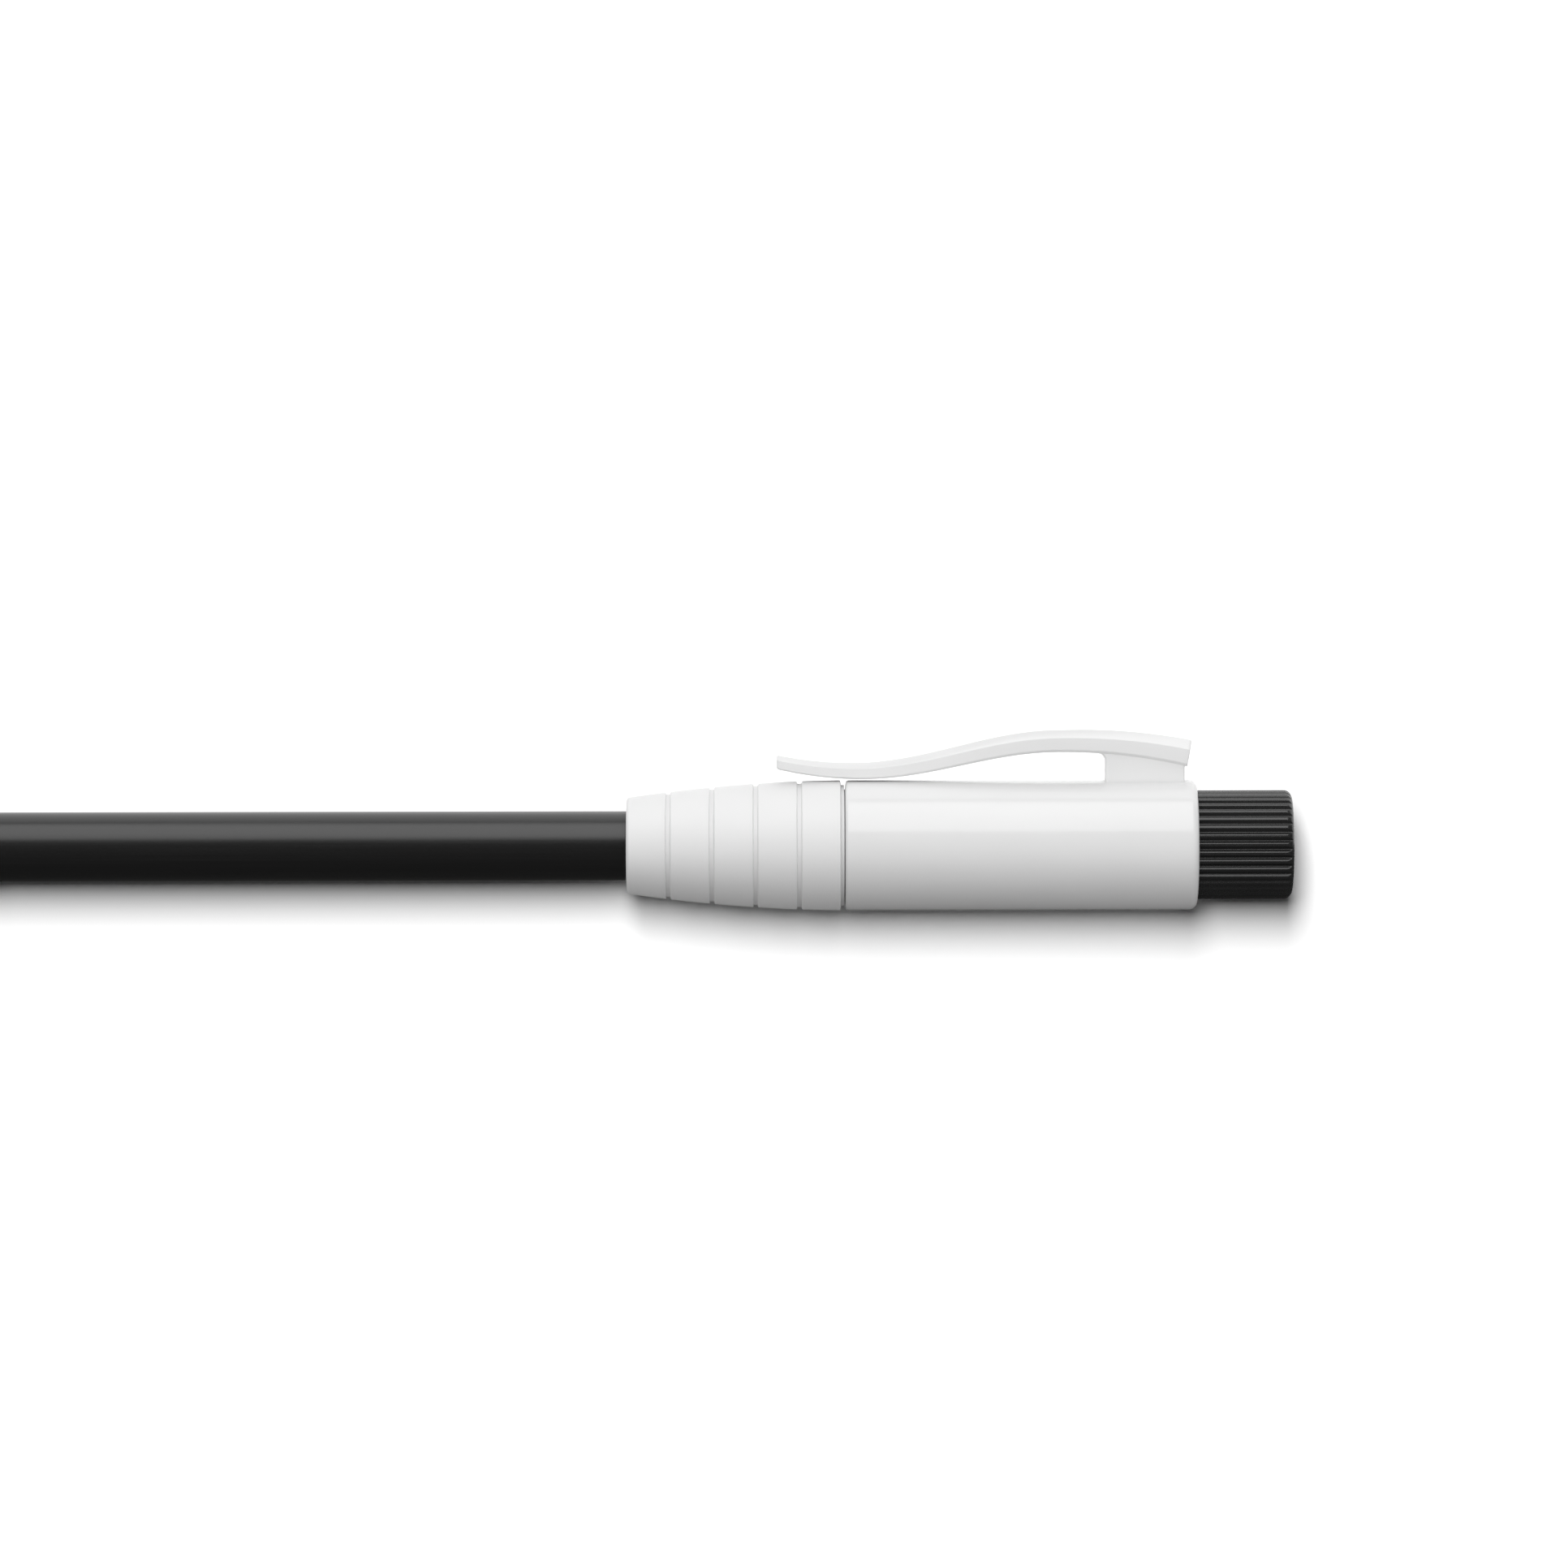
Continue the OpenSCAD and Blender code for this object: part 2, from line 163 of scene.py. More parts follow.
class Field:
    """A number that varies over a surface, held as a node's output. Arithmetic on it adds Math nodes."""

    def __init__(self, tree: NodeTree, socket: NodeSocket) -> None:
        """Wraps an output socket of a tree."""
        self.tree = tree
        self.socket = socket

    def math(self, operation: str, *others: "Field | float") -> "Field":
        """Combines this field with others.

        Args:
            operation: Blender's name of the Math node's operation.
            *others: Fields or numbers that the operation takes after this one.

        Returns:
            The result as a field.
        """
        values = [v.socket if isinstance(v, Field) else v for v in (self, *others)]
        node = add_node(self.tree, "ShaderNodeMath", dict(enumerate(values)), operation=operation)
        return Field(self.tree, node.outputs[0])

    def __add__(self, other: "Field | float") -> "Field":
        """Adds a field or a number."""
        return self.math("ADD", other)

    def __sub__(self, other: "Field | float") -> "Field":
        """Subtracts a field or a number."""
        return self.math("SUBTRACT", other)

    def __mul__(self, other: "Field | float") -> "Field":
        """Multiplies by a field or a number."""
        return self.math("MULTIPLY", other)

    def __truediv__(self, other: "Field | float") -> "Field":
        """Divides by a field or a number."""
        return self.math("DIVIDE", other)

    def __pow__(self, other: "Field | float") -> "Field":
        """Raises to a power."""
        return self.math("POWER", other)

    def flipped(self) -> "Field":
        """Returns one minus the field."""
        return self * -1.0 + 1.0

    def clamped(self) -> "Field":
        """Keeps the field between 0 and 1."""
        return self.math("MAXIMUM", 0.0).math("MINIMUM", 1.0)

    def over(self, limit: "Field | float") -> "Field":
        """Gives 1 where the field is greater than a limit, and 0 elsewhere."""
        return self.math("GREATER_THAN", limit)

    def under(self, limit: "Field | float") -> "Field":
        """Gives 1 where the field is less than a limit, and 0 elsewhere."""
        return self.math("LESS_THAN", limit)


class Recipe:
    """A Geometry Nodes tree that shapes a blank by a rule, with its sizes as named inputs."""

    def __init__(self, name: str, lengths: Mapping[str, float], numbers: Mapping[str, float]) -> None:
        """Makes the tree and its inputs.

        Args:
            name: Name of the tree.
            lengths: Value of each input that is a length, in millimetres, by its name.
            numbers: Value of each other input.
        """
        self.tree = bpy.data.node_groups.new(name, "GeometryNodeTree")
        self.sizes = {**{size: length * MM for size, length in lengths.items()}, **numbers}
        sockets = self.tree.interface
        sockets.new_socket("Blank", in_out="INPUT", socket_type="NodeSocketGeometry")
        for size in self.sizes:
            sockets.new_socket(size, in_out="INPUT", socket_type="NodeSocketFloat")
        sockets.new_socket("Finish", in_out="INPUT", socket_type="NodeSocketMaterial")
        sockets.new_socket("Shaped", in_out="OUTPUT", socket_type="NodeSocketGeometry")
        self.given = add_node(self.tree, "NodeGroupInput")
        position = add_node(self.tree, "GeometryNodeInputPosition")
        parts = add_node(self.tree, "ShaderNodeSeparateXYZ", {0: position.outputs[0]})
        self.x, self.y, self.z = [Field(self.tree, socket) for socket in parts.outputs]

    def size(self, name: str) -> Field:
        """Gives a named input as a field."""
        return Field(self.tree, self.given.outputs[name])

    def radius(self) -> Field:
        """Gives the distance of a point from the X axis."""
        return (self.y * self.y + self.z * self.z).math("SQRT")

    def angle(self) -> Field:
        """Gives the angle of a point round X, from +Z towards -Y."""
        return (self.y * -1.0).math("ARCTAN2", self.z)

    def move_radially(self, radius: Field) -> None:
        """Ends the tree with each point at a new distance from the X axis."""
        scale = radius / self.radius().math("MAXIMUM", WELD * MM)
        self.move_to(self.x, self.y * scale, self.z * scale)

    def move_to(self, x: Field, y: Field, z: Field) -> None:
        """Ends the tree with each point at a new place.

        Args:
            x: Station along X.
            y: Place along Y.
            z: Place along Z.
        """
        place = add_node(self.tree, "ShaderNodeCombineXYZ", {0: x.socket, 1: y.socket, 2: z.socket})
        geometry = self.given.outputs["Blank"]
        for kind, inputs in (
            ("GeometryNodeSetPosition", {"Position": place.outputs[0]}),
            ("GeometryNodeRealizeInstances", {}),
            ("GeometryNodeSetMaterial", {"Material": self.given.outputs["Finish"]}),
        ):
            geometry = add_node(self.tree, kind, {0: geometry, **inputs}).outputs[0]
        add_node(self.tree, "NodeGroupOutput", {0: geometry})

    def shape(self, blank: Mesh, finish: Material) -> Mesh:
        """Runs the tree on a blank.

        Args:
            blank: Mesh that the tree moves the points of.
            finish: Material of the result.

        Returns:
            The result as a plain mesh with smooth shading.
        """
        holder = bpy.data.objects.new(blank.name, blank)
        bpy.context.scene.collection.objects.link(holder)
        modifier = holder.modifiers.new(self.tree.name, "NODES")
        modifier.node_group = self.tree
        values = {**self.sizes, "Finish": finish}
        for item in self.tree.interface.items_tree:
            if item.in_out == "INPUT" and item.name in values:
                modifier[item.identifier] = values[item.name]
        graph = bpy.context.evaluated_depsgraph_get()
        mesh = bpy.data.meshes.new_from_object(holder.evaluated_get(graph))
        bpy.data.objects.remove(holder)
        return smooth(mesh)


@dataclass(frozen=True)
class Piece:
    """Where a finished mesh belongs: its name, body, material slot and the solids that it stands for."""

    name: str
    body: Body
    slot: str
    stands_for: tuple[str, ...]

    def make(self, mesh: Mesh, finish: Material) -> Object:
        """Makes the object that shows a mesh in place of its solids.

        Args:
            mesh: The finished mesh, in metres.
            finish: Its material.

        Returns:
            The object, at the origin and riding on nothing yet.
        """
        mesh.materials.clear()
        mesh.materials.append(finish)
        shown = bpy.data.objects.new(self.name, mesh)
        bpy.context.scene.collection.objects.link(shown)
        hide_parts(*self.stands_for)
        return shown

    def mount(self, mesh: Mesh, finish: Material) -> Object:
        """Makes the object that shows a mesh, and lets it ride on its body."""
        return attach(self.make(mesh, finish), self.body.value)


def smooth(mesh: Mesh) -> Mesh:
    """Shades a mesh smoothly, with creases where its faces meet at more than the sharp angle."""
    mesh.shade_smooth()
    mesh.set_sharp_from_angle(angle=SHARP_ANGLE)
    return mesh


def skin(name: str, rows: Sequence[Sequence[Vector]], ring: bool = True, loop: bool = False) -> Mesh:
    """Makes a closed mesh over rows of points.

    Args:
        name: Name of the mesh.
        rows: Rows of points in millimetres, all of one length, or of one point at a pole.
        ring: Whether the last point of each row joins the first. If not, both flat sides are filled.
        loop: Whether the last row joins the first. If not, the end rows are filled.

    Returns:
        The mesh in metres, with its faces outwards.
    """
    shape = bmesh.new()
    made = [[shape.verts.new(point * MM) for point in row] for row in rows]
    following = made[1:] + made[:1] if loop else made[1:]
    for near, far in zip(made, following):
        count = max(len(near), len(far))
        for j in range(count if ring else count - 1):
            k = j + 1
            corners = [near[j % len(near)], near[k % len(near)], far[k % len(far)], far[j % len(far)]]
            shape.faces.new(list(dict.fromkeys(corners)))
    if not ring:
        shape.faces.new([row[0] for row in made])
        shape.faces.new([row[-1] for row in made])
    if not loop:
        for row in (made[0], made[-1]):
            if len(row) > 2:
                shape.faces.new(row)
    bmesh.ops.recalc_face_normals(shape, faces=shape.faces)
    mesh = bpy.data.meshes.new(name)
    shape.to_mesh(mesh)
    shape.free()
    return smooth(mesh)


def round_x(x: float, radius: float, angle: float) -> Vector:
    """Gives the point at a station, a radius and an angle round X, from +Z towards -Y."""
    return Vector((x, -radius * math.sin(angle), radius * math.cos(angle)))


def turned(name: str, profile: Sequence[Point], segments: int = SEGMENTS, loop: bool = False) -> Mesh:
    """Turns a profile round X.

    Args:
        name: Name of the mesh.
        profile: Points (x, radius) in millimetres, with radius 0 at a pole.
        segments: Points in each ring.
        loop: Whether the profile is closed, as that of a tube is.

    Returns:
        The closed mesh.
    """
    angles = [math.tau * j / segments for j in range(segments)]
    rows = [[round_x(x, r, a) for a in (angles if r > 0 else angles[:1])] for x, r in profile]
    return skin(name, rows, loop=loop)


def arc(x: float, r: float, radius: float, first: float, last: float, steps: int = 8) -> list[Point]:
    """Gives the points of a round corner about (x, r), by its angles in degrees from +X outwards."""
    angles = [math.radians(first + (last - first) * i / steps) for i in range(steps + 1)]
    return [(x + radius * math.cos(a), r + radius * math.sin(a)) for a in angles]


def spaced(first: float, last: float, step: float) -> list[float]:
    """Gives numbers from first to last, both included, evenly spaced by a step at most."""
    count = max(1, math.ceil(abs(last - first) / step))
    return [first + (last - first) * i / count for i in range(count + 1)]


def rounded(corners: Sequence[Point], radius: float, steps: int = 4) -> list[Point]:
    """Rounds the corners of a convex outline.

    Args:
        corners: Corners of the outline, in order.
        radius: Radius of every corner.
        steps: Stretches in each rounded corner.

    Returns:
        Points of the rounded outline.
    """
    outline: list[Point] = []
    for i, corner in enumerate(corners):
        here = Vector(corner)
        back = (Vector(corners[i - 1]) - here).normalized()
        ahead = (Vector(corners[(i + 1) % len(corners)]) - here).normalized()
        half = back.angle(ahead) / 2
        reach = radius / math.tan(half)
        for part in spaced(0.0, 1.0, 1.0 / steps):
            # A rational quadratic between the two tangent points is an exact circular arc.
            weights = ((1 - part) ** 2, 2 * part * (1 - part) * math.sin(half), part ** 2)
            points = (here + back * reach, here, here + ahead * reach)
            total = sum((p * w for p, w in zip(points, weights)), Vector((0.0, 0.0)))
            outline.append(tuple(total / sum(weights)))
    return outline


def merged_copy(node: str) -> Mesh:
    """Copies a solid's mesh with its loose triangles joined into flat faces.

    Args:
        node: Name of the solid.

    Returns:
        The copy, with creases at its edges.
    """
    shape = bmesh.new()
    shape.from_mesh(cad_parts[node].data)
    bmesh.ops.remove_doubles(shape, verts=shape.verts, dist=WELD * MM)
    bmesh.ops.dissolve_limit(shape, angle_limit=FLAT_ANGLE, verts=shape.verts, edges=shape.edges)
    mesh = bpy.data.meshes.new(node + "_copy")
    shape.to_mesh(mesh)
    shape.free()
    return smooth(mesh)


@dataclass(frozen=True)
class Grain:
    """A cloudy or streaky pattern: the size of its patches along X and across it, in millimetres.

    A gain sharpens the pattern: it starts at the level that counts as dark, and rises faster from there.
    """

    along: float
    across: float
    detail: float = 2.0
    seed: float = 0.0
    dark: float = 0.0
    gain: float = 1.0
    harshness: float = 0.55

    def factor(self, tree: NodeTree, place: NodeSocket) -> Field:
        """Adds the pattern to a material.

        Args:
            tree: Node tree of the material.
            place: Object coordinates.

        Returns:
            The pattern as a field from 0 to 1, about 0.5 where it has no gain.
        """
        scale = [1 / (size * MM) for size in (self.along, self.across, self.across)]
        sized = {"Vector": place, "Scale": scale, "Location": [self.seed] * 3}
        place = add_node(tree, "ShaderNodeMapping", sized).outputs[0]
        cloud = {"Vector": place, "Scale": 1.0, "Detail": self.detail, "Roughness": self.harshness}
        plain = Field(tree, add_node(tree, "ShaderNodeTexNoise", cloud).outputs[0])
        return plain if self.gain == 1.0 else ((plain - self.dark) * self.gain).clamped()


@dataclass(frozen=True)
class Detail:
    """What varies over a surface: tints over its colour, its relief, and other inputs of its shader."""

    tints: Sequence[tuple[Field, str]]
    relief: Field
    others: Mapping[str, Field] = field(default_factory=dict)


@dataclass(frozen=True)
class Finish:
    """A surface: the name of its real material, its main colour, its gloss and its optical constants."""

    name: str
    colour: str
    roughness: float
    ior: float = 1.5
    metallic: float = 0.0
    relief_depth: float = 0.004

    def make(self) -> Material:
        """Makes the material, with its constants on the shader and its detail in nodes."""
        material = bpy.data.materials.new(self.name)
        material.use_nodes = True
        tree = material.node_tree
        shader = tree.nodes["Principled BSDF"]
        colour: Setting = linear(self.colour)
        constants = {"Roughness": self.roughness, "IOR": self.ior, "Metallic": self.metallic}
        for name, value in {"Base Color": colour, **constants}.items():
            shader.inputs[name].default_value = value
        detail = self.detail(tree, add_node(tree, "ShaderNodeTexCoord").outputs["Object"])
        for share, tint in detail.tints:
            layers = {0: share.socket, 6: colour, 7: linear(tint)}
            colour = add_node(tree, "ShaderNodeMix", layers, data_type="RGBA").outputs[2]
        bump = {"Height": detail.relief.socket, "Distance": self.relief_depth * MM}
        relief = add_node(tree, "ShaderNodeBump", bump).outputs[0]
        varied = {name: value.socket for name, value in detail.others.items()}
        for name, output in {"Base Color": colour, "Normal": relief, **varied}.items():
            tree.links.new(output, shader.inputs[name])
        return material

    def detail(self, tree: NodeTree, place: NodeSocket) -> Detail:
        """Adds the patterns of the surface.

        Args:
            tree: Node tree of the material.
            place: Object coordinates.

        Returns:
            What the patterns vary.
        """
        raise NotImplementedError


@dataclass(frozen=True)
class MouldedPlastic(Finish):
    """Injection-moulded plastic: the mould's grain in relief, faint flow clouds and uneven gloss."""

    cloud_colour: str = "#FFFFFF"
    cloud: Grain = Grain(14.0, 5.0)
    grain: Grain = Grain(0.15, 0.15)
    gloss_swing: float = 0.05

    def detail(self, tree: NodeTree, place: NodeSocket) -> Detail:
        """Adds flow clouds to the colour, the mould's grain to the relief and both to the gloss."""
        cloud, grain = self.cloud.factor(tree, place), self.grain.factor(tree, place)
        gloss = (cloud + grain - 1.0) * self.gloss_swing + self.roughness
        return Detail([(cloud, self.cloud_colour)], grain, {"Roughness": gloss})


@dataclass(frozen=True)
class DippedLacquer(Finish):
    """Lacquer that a pencil is drawn through: fine lines along it, and a slight orange peel."""

    relief_depth: float = 0.002
    line_colour: str = "#1B1B1B"
    lines: Grain = Grain(25.0, 0.12, 3.0)
    peel: Grain = Grain(0.9, 0.45)
    gloss_swing: float = 0.12

    def detail(self, tree: NodeTree, place: NodeSocket) -> Detail:
        """Adds the drawn lines to the colour and gloss, and the orange peel to the relief."""
        lines = self.lines.factor(tree, place)
        gloss = (lines - 0.5) * self.gloss_swing + self.roughness
        return Detail([(lines, self.line_colour)], self.peel.factor(tree, place), {"Roughness": gloss})


@dataclass(frozen=True)
class PaintedSleeve(Finish):
    """Thin aluminium under black paint, which is rubbed through in specks on its highest beads."""

    relief_depth: float = 0.012
    bare_colour: str = "#B9BBBE"
    bare_dulling: float = 0.2
    wear_from: float = 3.86
    wear_to: float = 3.9
    specks: Grain = Grain(0.25, 0.12, 3.0, dark=0.69, gain=8.0)
    dents: Grain = Grain(1.6, 0.9)

    def detail(self, tree: NodeTree, place: NodeSocket) -> Detail:
        """Adds bare specks along the beads and the faint dents of thin rolled metal."""
        parts = add_node(tree, "ShaderNodeSeparateXYZ", {0: place})
        y, z = [Field(tree, parts.outputs[i]) for i in (1, 2)]
        radius = (y * y + z * z).math("SQRT")
        height = ((radius - self.wear_from * MM) / ((self.wear_to - self.wear_from) * MM)).clamped()
        bare = height * self.specks.factor(tree, place)
        others = {"Metallic": bare, "Roughness": bare * self.bare_dulling + self.roughness}
        return Detail([(bare, self.bare_colour)], self.dents.factor(tree, place), others)


@dataclass(frozen=True)
class EraserRubber(Finish):
    """Filled rubber with a dull, slightly dusty skin."""

    relief_depth: float = 0.012
    dust_colour: str = "#343434"
    dust: Grain = Grain(0.22, 0.22, 3.0, dark=0.35, gain=2.0)
    pores: Grain = Grain(0.14, 0.14)

    def detail(self, tree: NodeTree, place: NodeSocket) -> Detail:
        """Adds dust to the colour and pores to the relief."""
        return Detail([(self.dust.factor(tree, place), self.dust_colour)], self.pores.factor(tree, place))


@dataclass(frozen=True)
class PencilWood(Finish):
    """Soft straight-grained wood, cut bare: bands of early and late growth, fibres and short dark pores."""

    relief_depth: float = 0.03
    late_colour: str = "#D18F4A"
    pale_colour: str = "#F0CFA6"
    pore_colour: str = "#A8652A"
    pale_share: float = 0.6
    pore_share: float = 0.7
    bands: Grain = Grain(40.0, 1.3, 1.0, dark=0.35, gain=3.0)
    fibres: Grain = Grain(5.0, 0.13, 3.0, dark=0.3, gain=2.5)
    pores: Grain = Grain(3.2, 0.12, 1.0, 7.0, dark=0.56, gain=6.0)
    cut_r: float = 2.5

    def detail(self, tree: NodeTree, place: NodeSocket) -> Detail:
        """Adds growth bands, fibres and pores to the colour, and the fibres to the relief."""
        parts = add_node(tree, "ShaderNodeSeparateXYZ", {0: place})
        x, y, z = [Field(tree, socket) for socket in parts.outputs]
        # Torn fibres run along the cut cone, so their pattern spreads out from its tip.
        spread = (y * y + z * z).math("SQRT") / (self.cut_r * MM)
        on_cut = {0: x.socket, 1: (y / spread).socket, 2: (z / spread).socket}
        cut = add_node(tree, "ShaderNodeCombineXYZ", on_cut).outputs[0]
        fibres = self.fibres.factor(tree, cut)
        tints = (
            (self.bands.factor(tree, place), self.late_colour),
            (fibres * self.pale_share, self.pale_colour),
            (self.pores.factor(tree, cut) * self.pore_share, self.pore_colour),
        )
        return Detail(tints, fibres)


@dataclass(frozen=True)
class ScrapedSurface(Finish):
    """A surface with fine tool lines in one direction, such as cut graphite or ground steel."""

    line_colour: str = "#FFFFFF"
    lines: Grain = Grain(0.06, 3.0)
    gloss_swing: float = 0.2

    def detail(self, tree: NodeTree, place: NodeSocket) -> Detail:
        """Adds the tool lines to the colour, gloss and relief."""
        lines = self.lines.factor(tree, place)
        gloss = (lines - 0.5) * self.gloss_swing + self.roughness
        return Detail([(lines, self.line_colour)], lines, {"Roughness": gloss})


# Satin lacquer gives the pencil one broad, soft highlight along its length.
SATIN_LACQUER = DippedLacquer("satin_black_pencil_lacquer", "#0E0E0E", 0.31, ior=1.6)
# A spark-eroded mould leaves the nose matt, with a grain drawn coarse enough to show.
MATT_ABS = MouldedPlastic("matt_white_moulded_abs", "#D0D0D0", 0.48, cloud_colour="#D6D6D6")
# A polished mould gives the barrel and the clip a clear gloss with a slow wave in it.
GLOSS_ABS = MouldedPlastic(
    "gloss_white_moulded_abs",
    "#CFCFCF",
    0.17,
    relief_depth=0.01,
    cloud_colour="#D5D5D5",
    grain=Grain(9.0, 2.5),
)
# Black ABS from a plain mould has a satin sheen that picks out the edges of the flutes.
KNOB_ABS = MouldedPlastic("satin_black_moulded_abs", "#181818", 0.27, ior=1.6, cloud_colour="#222222")
# The core is moulded without polish, so it is duller than the knob.
CORE_PLASTIC = MouldedPlastic(
    "dull_black_moulded_polystyrene", "#101011", 0.42, relief_depth=0.006, cloud_colour="#19191A"
)
# Stoved paint on the thin sleeve is glossy and mirrors the light in a hard-edged band.
SLEEVE_PAINT = PaintedSleeve("black_painted_aluminium", "#060606", 0.13, ior=1.6)
# Rubber with carbon and pumice is dull and throws hardly any highlight.
BLACK_RUBBER = EraserRubber("black_eraser_rubber", "#222222", 0.85)
# Wood cut by a sharpener is bare and pale, with orange late growth.
BARE_WOOD = PencilWood("bare_pencil_wood", "#E2B07E", 0.7)
# Graphite and clay, cut by a blade, is grey with a soft metallic sheen.
CUT_GRAPHITE = ScrapedSurface(
    "cut_graphite_and_clay", "#656567", 0.4, metallic=0.45, line_colour="#7C7C7F", gloss_swing=0.1
)
# Ground steel shows the lines of the wheel along the blade.
GROUND_STEEL = ScrapedSurface(
    "ground_carbon_steel", "#A9ACB0", 0.24, metallic=1.0, line_colour="#D5D8DB", lines=Grain(5.0, 0.06, 3.0)
)
# Nickel plating over turned steel is brighter and a little warmer than the blade.
PLATED_STEEL = ScrapedSurface(
    "nickel_plated_steel", "#BDB9B1", 0.18, metallic=1.0, line_colour="#DEDBD4", lines=Grain(0.4, 0.4)
)


@dataclass
class Pencil:
    """The pencil: rubber, ferrule, lacquer, two slats of wood and the lead."""

    point_angle: float = 15.9
    lacquer_t: float = 0.15
    lead_r: float = 1.05
    lead_round: float = 0.1
    bond_gap: float = 0.02
    ferrule_step: float = 0.11
    ferrule_t: float = 0.3
    lip_len: float = 0.5
    lip_h: float = 0.12
    lip_knee: Point = (0.3, 0.6)
    sleeve_ring: float = 0.06
    rear_band: float = 1.8
    front_band: float = 1.45
    bead_count: int = 4
    bead_pitch: float = 1.0
    bead_h: float = 0.13
    dimple_count: int = 4
    dimple_turn: float = 14.0
    dimple_r: float = 0.5
    dimple_depth: float = 0.16
    eraser_round: float = 1.0
    eraser_crown: float = 0.12
    crown_step: float = 0.2
    chip_len: float = 0.32
    chip_pitch: float = 0.75
    chip_seed: float = 3.0
    fray_len: float = 0.3
    fray_pitch: float = 0.45
    fray_seed: float = 9.0
    tooth_gain: float = 1.9
    glue_radians: float = 0.001
    coat_segments: int = 3 * SEGMENTS
    sleeve_segments: int = 2 * SEGMENTS
    coat: Extent = field(default_factory=lambda: Extent.of("lacquer_coat"))
    lead: Extent = field(default_factory=lambda: Extent.of("graphite_lead"))
    sleeve: Extent = field(default_factory=lambda: Extent.of("ferrule"))
    rubber: Extent = field(default_factory=lambda: Extent.of("eraser"))

    @property
    def sleeve_r(self) -> float:
        """Outer radius of the ferrule's plain bands."""
        return self.coat.radius + self.ferrule_step

    @property
    def sleeve_bore_r(self) -> float:
        """Inner radius of the ferrule."""
        return self.sleeve_r - self.ferrule_t

    @property
    def wood_r(self) -> float:
        """Radius of the wood under the lacquer."""
        return self.coat.radius - self.lacquer_t - self.bond_gap

    def on_cone(self, radius: float) -> float:
        """Gives the station at which the sharpened cone has a radius.

        Args:
            radius: Radius of the cone.

        Returns:
            The station along X.
        """
        half = math.radians(self.point_angle)
        apex = self.lead.end + self.lead_round / math.sin(half) - self.lead_round
        return apex - radius / math.tan(half)

    def torn(self, angle: float, radius: float, pitch: float, seed: float) -> float:
        """Gives how far a torn edge is set back at an angle, from 0 to 1.

        Args:
            angle: Angle round X.
            radius: Radius of the edge.
            pitch: Mean distance between its teeth.
            seed: Number that gives each edge its own teeth.

        Returns:
            The share of the greatest depth.
        """
        reach = radius / pitch
        place = Vector((reach * math.cos(angle), reach * math.sin(angle), seed))
        return 1.0 - min(1.0, self.tooth_gain * abs(noise.noise(place)))

    def lacquer_mesh(self) -> Mesh:
        """Makes the coat of lacquer, whose front edge is torn by sharpening."""
        inner_r = self.coat.radius - self.lacquer_t
        start, outer_r = self.coat.start, self.coat.radius
        angles = [math.tau * j / self.coat_segments for j in range(self.coat_segments)]
        chips = [self.chip_len * self.torn(a, outer_r, self.chip_pitch, self.chip_seed) for a in angles]
        # A ring close behind the chips keeps the long face straight in its shading.
        behind = self.on_cone(outer_r) - 2 * self.chip_len
        plain = ((start, inner_r), (start, outer_r), (behind, outer_r))
        rows = [[round_x(x, r, a) for a in angles] for x, r in plain]
        for radius in (outer_r, inner_r):
            front = self.on_cone(radius)
            rows.append([round_x(front - chip, radius, a) for a, chip in zip(angles, chips)])
        return skin("lacquer_skin", rows, loop=True)

    def slat_mesh(self, half: Half) -> Mesh:
        """Makes one slat, with its fibres frayed where they meet the lead.

        Args:
            half: Side of the glue line that the slat lies on.

        Returns:
            The mesh of the slat.
        """
        wood = Extent.of("upper_slat")
        groove_r = self.lead_r + self.bond_gap
        tenon_r = self.sleeve_bore_r - self.bond_gap
        taper = math.tan(math.radians(self.point_angle))
        quarter = math.pi / 2 - self.glue_radians
        angles = spaced(half.value - quarter, half.value + quarter, math.tau / SEGMENTS)
        rear = [
            (wood.start, groove_r),
            (wood.start, tenon_r),
            (self.sleeve.end, tenon_r),
            (self.coat.start, self.wood_r),
            (self.on_cone(self.wood_r), self.wood_r),
        ]
        rows = [[round_x(x, r, a) for a in angles] for x, r in rear]
        frays = [self.fray_len * self.torn(a, self.lead_r, self.fray_pitch, self.fray_seed) for a in angles]
        tip = self.on_cone(groove_r)
        for slope in (taper, 0.0):
            rows.append([round_x(tip - f, groove_r + f * slope, a) for a, f in zip(angles, frays)])
        return skin(half.name.lower() + "_wood", rows, ring=False, loop=True)

    def lead_mesh(self) -> Mesh:
        """Makes the lead, cut to a cone with a worn, rounded tip."""
        centre = self.lead.end - self.lead_round
        tip = arc(centre, 0.0, self.lead_round, 90 - self.point_angle, 0, steps=6)[:-1]
        profile = [
            (self.lead.start, 0.0),
            (self.lead.start, self.lead_r),
            (self.on_cone(self.lead_r), self.lead_r),
            *tip,
            (self.lead.end, 0.0),
        ]
        return turned("lead_core", profile)

